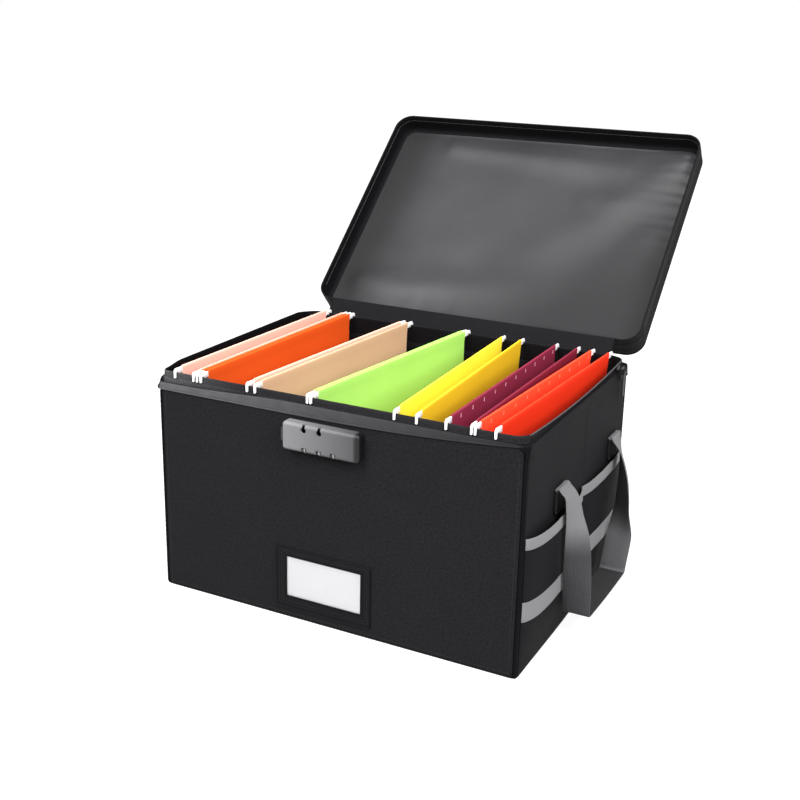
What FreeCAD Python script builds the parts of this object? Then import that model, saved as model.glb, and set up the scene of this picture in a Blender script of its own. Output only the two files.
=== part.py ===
import FreeCAD, Part
import os
from math import cos, radians, sin

# Zip-lid filing box with hanging folders. X runs to the right, Y to the back and Z up.
# The origin is the middle of the underside. Lengths are in millimetres.

# Box body
box_width = 436.0
box_depth = 320.0
rim_height = 259.0
cover_thickness = 1.2
board_thickness = 3.0
base_board_thickness = 3.0
liner_thickness = 0.8
piping_radius = 2.2
crease_place = 14.0
crease_gap = 2.0

# Rim: rails for the hooks, side rims and the band that carries the zip
rail_height = 22.0
lip_height = 8.0
lip_set_back = 1.0
rim_corner_radius = 18.0
side_rim_dip = 5.5
band_below_rim = 7.5
band_smooth_width = 12.5
band_lap = 1.5
band_thickness = 1.2
band_corner_radius = 8.0

# Lid
lid_depth = 34.0
lid_overhang = 3.4
lid_corner_radius = 22.0
lid_fabric = 1.2
lid_board_thickness = 3.0
lid_lining_thickness = 0.6
lid_tape_width = 12.0
lid_piping_radius = 1.2
zip_gap = 1.2
zip_end_inset = 22.0
hinge_behind = 16.0
hinge_rise = 7.5
lid_open_angle = 137.4
strip_thickness = 1.2
strip_sewn_width = 9.0
strip_end_inset = 24.0

# Hanging folders
folder_card = 0.8
hem_thickness = 2.6
hem_height = 9.0
hem_rise = 5.5
fold_width = 3.6
folder_floor_gap = 23.5
card_end_gap = 8.0
rod_thickness = 1.4
rod_height = 6.0
rod_clearance = 0.1
hook_clearance = 0.3
hook_tip_width = 2.0
hook_drop = 6.0
# Left leaf and right leaf as shares of half the rail, and the skew as a share of the box depth
folder_place_shares = {
    "pale": (-0.959, -0.835, 0.031),
    "orange": (-0.809, -0.784, 0.034),
    "tan": (-0.446, -0.396, 0.081),
    "green": (-0.043, -0.022, 0.116),
    "yellow": (0.342, 0.467, -0.038),
    "maroon": (0.659, 0.796, 0.0),
    "red": (0.851, 0.960, 0.044),
}

# Combination lock
lock_left = -51.0
lock_width = 92.0
lock_height = 31.0
lock_depth = 12.0
lock_below_band = 4.5
lock_wall = 2.0
lock_edge_radius = 4.0
lock_running_gap = 0.3
# Places of the keyholes and dials are measured from the lock's left end
keyhole_places = (26.5, 45.0)
keyhole_slot_width = 3.4
keyhole_radius = 3.2
keyhole_drop = 6.0
dial_places = (27.0, 44.5, 61.5)
dial_width = 6.0
dial_set_back = 1.6
dial_rear_gap = 0.4
dial_drop = 1.4
dial_axle_radius = 1.25
dial_bore_clearance = 0.05
button_height = 14.0
button_proud = 2.5
button_length = 10.0
button_flange = 1.6
button_rise = 0.5
latch_thickness = 1.5
latch_height = 3.0
finger_width = 3.0
finger_height = 4.0
spring_radius = 2.2
spring_wire = 0.6
stop_thickness = 1.5
left_screw_inset = 13.0
left_screw_drop = 4.6
right_screw_inset = 9.0
right_screw_drop = 12.0
screw_radius = 1.5
screw_length = 9.0
screw_head_radius = 3.0
screw_head_height = 1.5
boss_wall = 1.5
plate_thickness = 1.2
plate_margin = 5.0

# Label holder
label_left = -68.0
label_bottom = 11.0
label_width = 119.0
label_height = 73.0
label_frame_thickness = 1.8
window_left_margin = 15.5
window_right_margin = 12.5
window_low_margin = 16.0
window_high_margin = 10.5
window_lap = 2.5
label_card_thickness = 0.4
label_window_thickness = 0.4
label_corner_radius = 2.0

# Side pockets
pocket_below_rim = 111.0
pocket_bottom = 4.0
pocket_fabric = 1.2
pocket_corner_run = 62.0
front_pocket_bulge = 9.5
rear_pocket_bulge = 6.5
pocket_seam_gap = 1.0
pocket_height_shares = (0.0, 0.4, 1.0)
pocket_bulge_shares = (0.92, 1.0)
hem_band_width = 12.0
low_band_bottom = 57.0
low_band_width = 22.0
band_tape = 0.6

# Carrying handles
handle_front_inset = 99.0
handle_rear_inset = 44.0
handle_rise = 28.0
strap_width = 30.0
strap_thickness = 2.0
strap_gap = 0.3
strap_knuckle_radius = 1.5
patch_width = 33.0
patch_height = 29.0
patch_thickness = 2.6
patch_corner_radius = 3.0
patch_below_pivot = 1.0
strap_clearance = 1.8
strap_front_bottom = 34.0
strap_rear_bottom = 24.0
strap_bend_radius = 7.0
strap_rear_lean = 34.0
# Drop down the leg, reach outwards and twist, each as a share of its whole
front_leg_shares = (
    (0.0, 0.0, 0.0),
    (0.04, 0.3, 0.0),
    (0.11, 0.48, 0.1),
    (0.25, 0.64, 0.2),
    (0.39, 0.8, 0.4),
    (0.53, 0.88, 0.55),
    (0.66, 0.92, 0.66),
    (0.8, 0.96, 0.86),
    (1.0, 1.0, 1.0),
)
rear_leg_shares = (
    (0.0, 0.0, 0.0),
    (0.08, 0.38, 0.18),
    (0.26, 0.78, 0.36),
    (0.43, 0.94, 0.48),
    (0.55, 1.0, 0.55),
    (0.65, 1.04, 0.72),
    (0.76, 1.06, 0.95),
    (1.0, 0.95, 1.0),
)

# Zip sliders and their pulls
slider_length = 12.0
slider_below = 7.0
slider_above = 5.0
slider_plate = 1.4
slider_inner_plate = 0.6
slider_gap = 0.3
slider_post = 0.6
slider_post_length = 4.0
slider_end_gap = 10.0
ear_width = 1.5
ear_reach = 3.4
pull_pin_radius = 0.8
pull_pin_clearance = 0.1
pull_wall = 0.9
pull_width = 7.0
pull_length = 28.0
pull_thickness = 1.2

# Length by which a cutting tool runs past the face that it opens
overrun = 2.0

half_width = box_width / 2
half_depth = box_depth / 2
board_outer_x = half_width - cover_thickness
board_outer_y = half_depth - cover_thickness
inner_x = board_outer_x - board_thickness
inner_y = board_outer_y - board_thickness
seam_x = half_width - 2 * piping_radius
seam_y = half_depth - 2 * piping_radius
board_top = rim_height - rail_height
floor_height = cover_thickness + base_board_thickness
rail_half = board_outer_x - rim_corner_radius
lip_base = rim_height - lip_height
band_top_height = rim_height - band_below_rim
band_seam_height = band_top_height - band_smooth_width
band_bottom_height = band_seam_height - band_lap
band_outer_x = half_width + band_thickness
band_outer_y = half_depth + band_thickness
lid_half_x = half_width + lid_overhang
lid_half_y = half_depth + lid_overhang
lid_rim = band_top_height + zip_gap
lid_top = lid_rim + lid_depth
hinge_place = half_depth + hinge_behind
hinge_height = band_top_height + hinge_rise
wall_inside = -inner_y + liner_thickness
hem_top = rim_height + hem_rise
lock_right = lock_left + lock_width
lock_top = band_bottom_height - lock_below_band
lock_bottom = lock_top - lock_height
screw_places = ((lock_left + left_screw_inset, lock_top - left_screw_drop),
                (lock_right - right_screw_inset, lock_top - right_screw_drop))
pocket_top = rim_height - pocket_below_rim
handle_pivot_height = pocket_top + handle_rise
handle_front = handle_front_inset - half_depth
handle_rear = half_depth - handle_rear_inset
zip_end_place = half_depth - zip_end_inset
slider_place = zip_end_place - slider_end_gap - slider_length / 2

os.makedirs("parts", exist_ok=True)


def vec(x, y, z):
    return FreeCAD.Vector(x, y, z)


def block(x0, x1, y0, y1, z0, z1):
    return Part.makeBox(x1 - x0, y1 - y0, z1 - z0, vec(x0, y0, z0))


def rod_between(start, end, radius):
    return Part.makeCylinder(radius, (end - start).Length, start, end - start)


def prism(points, sweep):
    return Part.Face(Part.makePolygon(points + points[:1])).extrude(sweep)


def rounded_outline(half_x, half_y, radius, z):
    near_x = half_x - radius
    near_y = half_y - radius
    edges = []
    for sx, sy, start_along_x in ((1, 1, True), (-1, 1, False), (-1, -1, True), (1, -1, False)):
        middle = vec(sx * (near_x + radius * sin(radians(45))), sy * (near_y + radius * sin(radians(45))), z)
        on_side = vec(sx * half_x, sy * near_y, z)
        on_end = vec(sx * near_x, sy * half_y, z)
        start, end = (on_side, on_end) if start_along_x else (on_end, on_side)
        if edges:
            edges.append(Part.LineSegment(last, start).toShape())
        else:
            first = start
        edges.append(Part.Arc(start, middle, end).toShape())
        last = end
    edges.append(Part.LineSegment(last, first).toShape())
    return Part.Wire(edges)


def slab(half_x, half_y, radius, z0, z1):
    return Part.Face(rounded_outline(half_x, half_y, radius, z0)).extrude(vec(0, 0, z1 - z0))


def ring(half_x, half_y, radius, wall, z0, z1):
    hole = slab(half_x - wall, half_y - wall, radius - wall, z0 - overrun, z1 + overrun)
    return slab(half_x, half_y, radius, z0, z1).cut(hole)


def both_sides(shape):
    return Part.Compound([shape, left_of(shape)])


def left_of(shape):
    return shape.mirror(vec(0, 0, 0), vec(1, 0, 0))


def back_of(shape):
    return shape.mirror(vec(0, 0, 0), vec(0, 1, 0))


def upright_plate(left, right, bottom, top, y0, y1, radius):
    plate = block(left, right, y0, y1, bottom, top)
    uprights = [e for e in plate.Edges if abs(e.Vertexes[0].Y - e.Vertexes[-1].Y) > (y1 - y0) / 2]
    return plate.makeFillet(radius, uprights)


def save(name, shape):
    shape.exportStep("parts/" + name + ".step")
    print(name, len(shape.Solids), round(shape.Volume, 1))


# Walls: fabric outside, board within, liner inside

def make_walls():
    screw_holes = [rod_between(vec(x, -half_depth - overrun, z), vec(x, -inner_y + overrun, z), screw_radius)
                   for x, z in screw_places]
    front_cover = block(-seam_x, seam_x, -half_depth, -board_outer_y, cover_thickness, band_seam_height)
    save("front_cover", front_cover.cut(screw_holes))
    save("back_cover", back_of(front_cover))
    right_cover = block(board_outer_x, half_width, -seam_y, seam_y, cover_thickness, band_seam_height)
    save("right_cover", right_cover)
    save("left_cover", left_of(right_cover))
    save("bottom_cover", slab(half_width, half_depth, 2 * piping_radius, 0, cover_thickness))
    front_board = block(-seam_x, seam_x, -board_outer_y, -inner_y, cover_thickness, board_top)
    save("front_board", front_board.cut(screw_holes))
    save("back_board", back_of(front_board))
    front_half = block(inner_x, board_outer_x, -seam_y, crease_place - crease_gap / 2,
                       cover_thickness, board_top)
    rear_half = block(inner_x, board_outer_x, crease_place + crease_gap / 2, seam_y,
                      cover_thickness, board_top)
    side_boards = Part.Compound([front_half, rear_half])
    save("right_side_boards", side_boards)
    save("left_side_boards", left_of(side_boards))
    save("base_board", block(-inner_x, inner_x, -inner_y, inner_y, cover_thickness, floor_height))
    bag = block(-inner_x, inner_x, -inner_y, inner_y, floor_height, board_top)
    room = block(-inner_x + liner_thickness, inner_x - liner_thickness, wall_inside, -wall_inside,
                 floor_height + liner_thickness, board_top + overrun)
    save("liner", bag.cut(room).cut(screw_holes))
    post_x = half_width - piping_radius
    post_y = half_depth - piping_radius
    post = rod_between(vec(post_x, post_y, cover_thickness), vec(post_x, post_y, band_bottom_height),
                       piping_radius)
    save("corner_piping", Part.Compound([post, left_of(post), back_of(post), back_of(left_of(post))]))


# Rim: the front and rear rails carry the folder hooks, the side rims join them round the corners

def make_rim():
    low = ring(board_outer_x, board_outer_y, rim_corner_radius, board_thickness, board_top, lip_base)
    lip = ring(board_outer_x - lip_set_back, board_outer_y - lip_set_back, rim_corner_radius - lip_set_back,
               board_thickness - lip_set_back, lip_base, rim_height)
    hoop = low.fuse(lip).removeSplitter()
    middle = block(-rail_half, rail_half, -box_depth, box_depth, 0, 2 * rim_height)
    save("folder_rails", hoop.common(middle))
    # The side rims dip in a shallow arc between the corners
    dip_half = board_outer_y - rim_corner_radius
    dip_radius = (dip_half ** 2 + side_rim_dip ** 2) / (2 * side_rim_dip)
    dip_centre = vec(-box_width, 0, rim_height - side_rim_dip + dip_radius)
    dip = Part.makeCylinder(dip_radius, 2 * box_width, dip_centre, vec(1, 0, 0))
    save("side_rims", hoop.cut(middle).cut(dip))
    foot_radius = piping_radius + band_thickness
    outer = [rounded_outline(band_outer_x, band_outer_y, foot_radius, band_bottom_height),
             rounded_outline(band_outer_x, band_outer_y, foot_radius, band_seam_height),
             rounded_outline(band_outer_x, band_outer_y, band_corner_radius, band_top_height)]
    inner = [rounded_outline(half_width, half_depth, piping_radius, band_bottom_height),
             rounded_outline(half_width, half_depth, piping_radius, band_seam_height),
             rounded_outline(half_width, half_depth, band_corner_radius - band_thickness, band_top_height)]
    save("rim_band", Part.makeLoft(outer, True, True).cut(Part.makeLoft(inner, True, True)))


# Lid, built closed and swung open about the hinge line

def opened(shape):
    turned = shape.copy()
    turned.rotate(vec(0, hinge_place, hinge_height), vec(1, 0, 0), -lid_open_angle)
    return turned


def make_lid():
    tape_top = lid_rim + lid_tape_width
    board_up = lid_top - lid_fabric
    band_up = lid_top - 2 * lid_piping_radius
    front_part = block(-box_width, box_width, -box_depth, zip_end_place, 0, tape_top)
    low = ring(lid_half_x, lid_half_y, lid_corner_radius, lid_fabric, lid_rim, tape_top)
    save("lid_zipper_tape", opened(low.common(front_part)))
    high = ring(lid_half_x, lid_half_y, lid_corner_radius, lid_fabric, tape_top, band_up)
    save("lid_side_band", opened(high.fuse(low.cut(front_part)).removeSplitter()))
    shrink = 2 * lid_piping_radius
    corner = lid_corner_radius - shrink
    save("lid_top_cover", opened(slab(lid_half_x - shrink, lid_half_y - shrink, corner, board_up, lid_top)))
    board_low = board_up - lid_board_thickness
    save("lid_board", opened(slab(lid_half_x - shrink, lid_half_y - shrink, corner, board_low, board_up)))
    tray = slab(lid_half_x - lid_fabric, lid_half_y - lid_fabric, lid_corner_radius - lid_fabric,
                lid_rim + lid_fabric, board_low)
    wall = lid_fabric + lid_lining_thickness
    hollow = slab(lid_half_x - wall, lid_half_y - wall, lid_corner_radius - wall,
                  lid_rim - overrun, board_low - lid_lining_thickness)
    save("lid_lining", opened(tray.cut(hollow)))
    route = rounded_outline(lid_half_x - lid_piping_radius, lid_half_y - lid_piping_radius,
                            lid_corner_radius - lid_piping_radius, lid_top - lid_piping_radius)
    start = vec(lid_half_x - lid_piping_radius, 0, lid_top - lid_piping_radius)
    section = Part.Wire(Part.makeCircle(lid_piping_radius, start, vec(0, 1, 0)))
    cord = route.makePipeShell([section], True, False)
    save("lid_piping", opened(cord))


# Fabric hinge: sewn to the back of the rim band and to the back of the lid's side band

def make_hinge_strip():
    rear_edge = opened(Part.Vertex(vec(0, lid_half_y, lid_rim))).Point
    down_band = vec(0, sin(radians(lid_open_angle)), cos(radians(lid_open_angle)))
    outwards = vec(0, cos(radians(lid_open_angle)), -sin(radians(lid_open_angle)))
    sewn = rear_edge + down_band * strip_sewn_width
    foot = vec(0, band_outer_y, band_top_height - strip_sewn_width)
    bend = vec(0, band_outer_y, band_top_height - lid_overhang)
    back = vec(0, strip_thickness, 0)
    lid_side = outwards * strip_thickness
    inside_bend = rear_edge + lid_side + vec(0, strip_thickness / 2, 0)
    section = [foot, bend, rear_edge, sewn, sewn + lid_side, inside_bend, bend + back, foot + back]
    reach = half_width - strip_end_inset
    moved = [p + vec(-reach, 0, 0) for p in section]
    save("hinge_strip", prism(moved, vec(2 * reach, 0, 0)))


# Hanging folders: a folded card with a hem along each upper edge and a hooked rod in each hem

def skewed(x, skew, y, z):
    return vec(x + skew * y / box_depth, y, z)


def hooked_rod(x, skew, extra):
    rail_inside = inner_y
    rail_outside = board_outer_y - lip_set_back
    rod_top = hem_top - (hem_height - rod_height) / 2 + extra
    rod_low = rod_top - rod_height - 2 * extra
    over = rim_height + hook_clearance
    tip_inside = rail_outside + hook_clearance
    tip_outside = tip_inside + hook_tip_width
    notch = rail_inside - hook_clearance
    half = [(notch, rod_low), (notch, over), (tip_inside, over), (tip_inside, rim_height - hook_drop),
            (tip_outside, rim_height - hook_drop), (tip_outside, rod_top - hook_tip_width),
            (tip_outside - hook_tip_width, rod_top)]
    outline = half + [(-y, z) for y, z in reversed(half)]
    side = x - rod_thickness / 2 - extra
    return prism([skewed(side, skew, y, z) for y, z in outline], vec(rod_thickness + 2 * extra, 0, 0))


def folded_card(left, right, skew):
    hem_low = hem_top - hem_height
    low = floor_height + liner_thickness + folder_floor_gap
    middle = (left + right) / 2
    fold = fold_width / 2
    leaf = folder_card / 2
    hem = hem_thickness / 2
    half = [(hem, hem_top), (hem, hem_low), (leaf, hem_low)]
    outline = [(left - x, z) for x, z in half]
    outline += [(middle - fold, low), (middle + fold, low)]
    outline += [(right + x, z) for x, z in reversed(half)]
    outline += [(right - x, z) for x, z in half]
    inside = fold - folder_card
    outline += [(middle + inside, low + folder_card), (middle - inside, low + folder_card)]
    outline += [(left + x, z) for x, z in reversed(half)]
    front = wall_inside + card_end_gap
    card_length = -2 * front
    sweep = vec(skew * card_length / box_depth, card_length, 0)
    return prism([skewed(x, skew, front, z) for x, z in outline], sweep)


def make_folders():
    for colour, (left_share, right_share, skew_share) in folder_place_shares.items():
        left = left_share * rail_half
        right = right_share * rail_half
        skew = skew_share * box_depth
        rods = [hooked_rod(x, skew, 0) for x in (left, right)]
        rooms = [hooked_rod(x, skew, rod_clearance) for x in (left, right)]
        save("folder_" + colour + "_card", folded_card(left, right, skew).cut(rooms))
        save("folder_" + colour + "_rods", Part.Compound(rods))


# Combination lock on the front wall

def make_lock():
    face = -half_depth - lock_depth
    shell = block(lock_left, lock_right, face, -half_depth, lock_bottom, lock_top)
    front_edges = [e for e in shell.Edges if min(v.Y for v in e.Vertexes) < face + lock_wall]
    shell = shell.makeFillet(lock_edge_radius, front_edges)
    inside = block(lock_left + lock_wall, lock_right - lock_wall, face + lock_wall, -half_depth + overrun,
                   lock_bottom + lock_wall, lock_top - lock_wall)
    shell = shell.cut(inside)

    # Keyholes for the zip pulls, open at the top edge
    keyholes = [lock_left + place for place in keyhole_places]
    hole_height = lock_top - keyhole_drop
    for x in keyholes:
        slot = block(x - keyhole_slot_width / 2, x + keyhole_slot_width / 2, face - overrun,
                     face + lock_edge_radius, hole_height, lock_top + overrun)
        eye = rod_between(vec(x, face - overrun, hole_height),
                          vec(x, face + lock_wall + overrun, hole_height), keyhole_radius)
        shell = shell.cut([slot, eye])

    # Dials show in the lower front edge and stand proud below it
    dial_radius = (lock_depth - dial_set_back - dial_rear_gap) / 2
    dial_y = face + dial_set_back + dial_radius
    dial_z = lock_bottom - dial_drop + dial_radius
    window = dial_width / 2 + lock_running_gap
    to_wall = dial_radius - lock_wall + dial_set_back
    window_top = dial_z + (dial_radius ** 2 - to_wall ** 2) ** 0.5 + lock_running_gap
    window_rear = dial_y + dial_radius + lock_running_gap
    for number, place in enumerate(dial_places, 1):
        x = lock_left + place
        shell = shell.cut(block(x - window, x + window, face - overrun, window_rear,
                                lock_bottom - overrun, window_top))
        disc = rod_between(vec(x - dial_width / 2, dial_y, dial_z),
                           vec(x + dial_width / 2, dial_y, dial_z), dial_radius)
        bore = rod_between(vec(x - dial_width, dial_y, dial_z), vec(x + dial_width, dial_y, dial_z),
                           dial_axle_radius + dial_bore_clearance)
        save("dial_" + str(number), disc.cut(bore))
    axle_left = vec(lock_left + lock_wall, dial_y, dial_z)
    axle_right = vec(lock_right - lock_wall, dial_y, dial_z)
    save("dial_axle", rod_between(axle_left, axle_right, dial_axle_radius))

    # Release button in the left end, its flange inside the wall, the latch plate and the spring behind it
    gap = lock_running_gap
    middle_y = -half_depth - lock_depth / 2
    button_middle = (lock_bottom + lock_top) / 2 + button_rise
    button_low = button_middle - button_height / 2
    button_high = button_middle + button_height / 2
    inner_end = lock_left + button_length
    front = face + lock_wall + gap + button_flange / 2
    rear = 2 * middle_y - front
    shell = shell.cut(block(lock_left - overrun, lock_left + lock_wall + overrun, front - gap, rear + gap,
                            button_low - gap, button_high + gap))
    stem = block(lock_left - button_proud, inner_end, front, rear, button_low, button_high)
    flange_left = lock_left + lock_wall + gap
    flange = block(flange_left, flange_left + button_flange,
                   front - button_flange / 2, rear + button_flange / 2,
                   button_low - button_flange, button_high + button_flange)
    save("release_button", stem.fuse(flange).removeSplitter())
    latch_low = button_middle + latch_height / 2
    latch_high = latch_low + latch_height
    latch_front = front + gap
    latch_rear = latch_front + latch_thickness
    tips = [x - keyhole_radius - gap for x in keyholes]
    latch = block(inner_end, tips[-1], latch_front, latch_rear, latch_low, latch_high)
    for tip in tips:
        latch = latch.fuse(block(tip - finger_width, tip, latch_front, latch_rear,
                                 latch_low, latch_high + finger_height))
    save("latch_plate", latch.removeSplitter())
    stop_left = tips[0] - finger_width - gap - stop_thickness
    stop = block(stop_left, stop_left + stop_thickness, face + lock_wall / 2, -half_depth, button_low,
                 latch_high + gap + lock_wall)
    passage = block(stop_left - overrun, stop_left + stop_thickness + overrun,
                    latch_front - gap, latch_rear + gap, latch_low - gap, latch_high + gap)
    spring_z = button_low + spring_radius + spring_wire
    spring_start = vec(inner_end, middle_y, spring_z)
    spring_end = vec(stop_left, middle_y, spring_z)
    spring = rod_between(spring_start, spring_end, spring_radius)
    save("release_spring", spring.cut(rod_between(spring_start, spring_end, spring_radius - spring_wire)))

    # Bosses take the screws that come through the wall from the back plate
    for x, z in screw_places:
        seat = rod_between(vec(x, face + lock_wall / 2, z), vec(x, -half_depth, z), screw_radius + boss_wall)
        shell = shell.fuse(seat)
    shell = shell.fuse(stop.cut(passage))
    plate_y = wall_inside + plate_thickness
    shanks = []
    screws = []
    for x, z in screw_places:
        shank = rod_between(vec(x, plate_y, z), vec(x, plate_y - plate_thickness - screw_length, z),
                            screw_radius)
        head = rod_between(vec(x, plate_y, z), vec(x, plate_y + screw_head_height, z), screw_head_radius)
        shanks.append(shank)
        screws.append(shank.fuse(head).removeSplitter())
    save("lock_housing", shell.cut(shanks).removeSplitter())
    save("lock_screws", Part.Compound(screws))
    plate = block(lock_left + plate_margin, lock_right - plate_margin, wall_inside, plate_y,
                  lock_bottom + plate_margin, lock_top - plate_margin / 2)
    save("lock_back_plate", plate.cut(shanks))


# Label holder low on the front wall: card under a clear window, held by a stitched frame

def make_label():
    right = label_left + label_width
    top = label_bottom + label_height
    window = (label_left + window_left_margin, right - window_right_margin,
              label_bottom + window_low_margin, top - window_high_margin)
    sheet = (window[0] - window_lap, window[1] + window_lap, window[2] - window_lap, window[3] + window_lap)
    card_face = -half_depth - label_card_thickness
    window_face = card_face - label_window_thickness
    frame = upright_plate(label_left, right, label_bottom, top,
                          -half_depth - label_frame_thickness, -half_depth, label_corner_radius)
    frame = frame.cut(block(sheet[0], sheet[1], window_face, -half_depth + overrun, sheet[2], sheet[3]))
    frame = frame.cut(block(window[0], window[1], -half_depth - label_frame_thickness - overrun, -half_depth,
                            window[2], window[3]))
    save("label_frame", frame)
    save("label_card", block(sheet[0], sheet[1], card_face, -half_depth, sheet[2], sheet[3]))
    save("label_window", block(sheet[0], sheet[1], window_face, card_face, sheet[2], sheet[3]))


# Side pockets: bulging panels, flat at the bottom seam and open at the hem

def pocket_section(y0, y1, bulge, inset, z):
    turn = sin(radians(45))
    reach = half_width + bulge - inset
    near = y0 + inset
    far = y1 - inset
    run = pocket_corner_run
    mid_x = half_width + (bulge - inset) * turn
    start = vec(half_width, near, z)
    end = vec(half_width, far, z)
    flat_start = vec(reach, near + run, z)
    flat_end = vec(reach, far - run, z)
    edges = [Part.Arc(start, vec(mid_x, near + run * (1 - turn), z), flat_start),
             Part.LineSegment(flat_start, flat_end),
             Part.Arc(flat_end, vec(mid_x, far - run * (1 - turn), z), end),
             Part.LineSegment(end, start)]
    return Part.Wire([e.toShape() for e in edges])


def pocket_levels(bulge):
    rise = pocket_top - pocket_bottom
    heights = [pocket_bottom + share * rise for share in pocket_height_shares]
    return list(zip(heights, [2 * pocket_fabric] + [share * bulge for share in pocket_bulge_shares]))


def pocket_form(y0, y1, bulge, inset, rise):
    levels = pocket_levels(bulge)
    sections = [pocket_section(y0, y1, b, inset, z + rise) for z, b in levels]
    return Part.makeLoft(sections, True, True)


def bulge_at(bulge, z):
    levels = pocket_levels(bulge)
    pairs = zip(levels, levels[1:])
    (z0, b0), (z1, b1) = [pair for pair in pairs if pair[0][0] <= z][-1]
    return b0 + (b1 - b0) * (z - z0) / (z1 - z0)


def pocket_band(y0, y1, bulge, z0, z1):
    heights = [z0] + [z for z, b in pocket_levels(bulge) if z0 < z < z1] + [z1]
    sections = [pocket_section(y0, y1, bulge_at(bulge, z), -band_tape, z) for z in heights]
    return Part.makeLoft(sections, True, True).cut(pocket_form(y0, y1, bulge, 0, 0))


def make_pockets():
    places = ((-seam_y, crease_place - pocket_seam_gap, front_pocket_bulge),
              (crease_place + pocket_seam_gap, seam_y, rear_pocket_bulge))
    pockets = []
    bands = []
    for y0, y1, bulge in places:
        hollow = pocket_form(y0, y1, bulge, pocket_fabric, pocket_fabric)
        pockets.append(pocket_form(y0, y1, bulge, 0, 0).cut(hollow))
        bands.append(pocket_band(y0, y1, bulge, pocket_top - hem_band_width, pocket_top))
        bands.append(pocket_band(y0, y1, bulge, low_band_bottom, low_band_bottom + low_band_width))
    right_pockets = Part.Compound(pockets)
    save("right_pockets", right_pockets)
    save("left_pockets", left_of(right_pockets))
    right_bands = Part.Compound(bands)
    save("pocket_bands", both_sides(right_bands))


# Carrying handles: webbing that folds over its patches, twists as it hangs and runs along below

def strap_section(centre, across, through):
    w = across * (strap_width / 2)
    t = through * (strap_thickness / 2)
    corners = [centre + w + t, centre - w + t, centre - w - t, centre + w - t]
    return Part.makePolygon(corners + corners[:1])


def strap_leg(shares, start, reach, bottom, lean, turn):
    sections = []
    drop = start.z - bottom - strap_bend_radius
    for drop_share, reach_share, twist_share in shares:
        twist = radians(90 * twist_share)
        centre = start + vec(reach * reach_share, -turn * lean * drop_share, -drop * drop_share)
        across = vec(sin(twist), -turn * cos(twist), 0)
        through = vec(cos(twist), turn * sin(twist), 0)
        sections.append((centre, across, through))
    return sections


def strap_bend(end, turn):
    middle = end + vec(0, -turn * strap_bend_radius, 0)
    sections = []
    for angle in (30, 60, 90):
        a = radians(angle)
        through = vec(0, turn * cos(a), -sin(a))
        sections.append((middle + through * strap_bend_radius, vec(1, 0, 0), through))
    return sections


def make_handles():
    patch_face = half_width + patch_thickness
    pivot = vec(patch_face + strap_gap + strap_knuckle_radius, 0, handle_pivot_height)
    beyond = half_width + band_tape + strap_clearance + strap_width / 2 - pivot.x
    front_leg = strap_leg(front_leg_shares, pivot + vec(0, handle_front, 0), beyond + front_pocket_bulge,
                          strap_front_bottom, 0, -1)
    rear_leg = strap_leg(rear_leg_shares, pivot + vec(0, handle_rear, 0), beyond + rear_pocket_bulge,
                         strap_rear_bottom, strap_rear_lean, 1)
    loop = front_leg + strap_bend(front_leg[-1][0], -1)
    loop += list(reversed(rear_leg + strap_bend(rear_leg[-1][0], 1)))
    strap = Part.makeLoft([strap_section(*s) for s in loop], True, True)
    for y in (handle_front, handle_rear):
        strap = strap.fuse(rod_between(pivot + vec(0, y - strap_width / 2, 0),
                                       pivot + vec(0, y + strap_width / 2, 0), strap_knuckle_radius))
    save("right_handle", strap)
    save("left_handle", left_of(strap))
    patches = []
    for y in (handle_front, handle_rear):
        top = handle_pivot_height - patch_below_pivot + strap_knuckle_radius
        patch = block(half_width, patch_face, y - patch_width / 2, y + patch_width / 2,
                      top - patch_height, top)
        sides = [e for e in patch.Edges if abs(e.Vertexes[0].X - e.Vertexes[-1].X) > patch_thickness / 2]
        patches.append(patch.makeFillet(patch_corner_radius, sides))
    save("handle_patches", both_sides(Part.Compound(patches)))


# Zip sliders parked at the rear ends of the zip, with hanging pulls

def make_sliders():
    low = band_top_height - slider_below
    high = lid_rim + slider_above
    front = slider_place - slider_length / 2
    rear = slider_place + slider_length / 2
    inner_right = half_width - slider_gap
    inner_left = inner_right - slider_inner_plate
    wide = lid_half_x + slider_gap
    face = wide + slider_plate
    post_low = band_top_height + (zip_gap - slider_post) / 2
    slider = block(wide, face, front, rear, low, high)
    slider = slider.fuse(block(band_outer_x + slider_gap, face, front, rear,
                               low, band_top_height - slider_gap))
    slider = slider.fuse(block(inner_left, inner_right, front, rear, band_top_height - slider_above, high))
    slider = slider.fuse(block(inner_left, face, slider_place - slider_post_length / 2,
                               slider_place + slider_post_length / 2, post_low, post_low + slider_post))
    knuckle = pull_pin_radius + pull_pin_clearance + pull_wall
    pin = vec(face + knuckle + slider_gap, slider_place, band_top_height)
    ear_gap = pull_width / 2 + slider_gap
    for side in (-1, 1):
        near = slider_place + side * ear_gap
        far = slider_place + side * (ear_gap + ear_width)
        slider = slider.fuse(block(face, face + ear_reach, min(near, far), max(near, far),
                                   band_top_height - knuckle, band_top_height + knuckle))
    half_pin = vec(0, ear_gap + ear_width / 2, 0)
    slider = slider.fuse(rod_between(pin - half_pin, pin + half_pin, pull_pin_radius)).removeSplitter()
    save("right_slider", slider)
    save("left_slider", left_of(slider))
    half_pull = vec(0, pull_width / 2, 0)
    pull = rod_between(pin - half_pull, pin + half_pull, knuckle)
    pull = pull.fuse(block(pin.x - pull_thickness / 2, pin.x + pull_thickness / 2,
                           slider_place - pull_width / 2, slider_place + pull_width / 2,
                           pin.z - pull_length, pin.z))
    bore = rod_between(pin - half_pull * 2, pin + half_pull * 2, pull_pin_radius + pull_pin_clearance)
    pull = pull.cut(bore)
    save("right_pull", pull)
    save("left_pull", left_of(pull))


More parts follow.
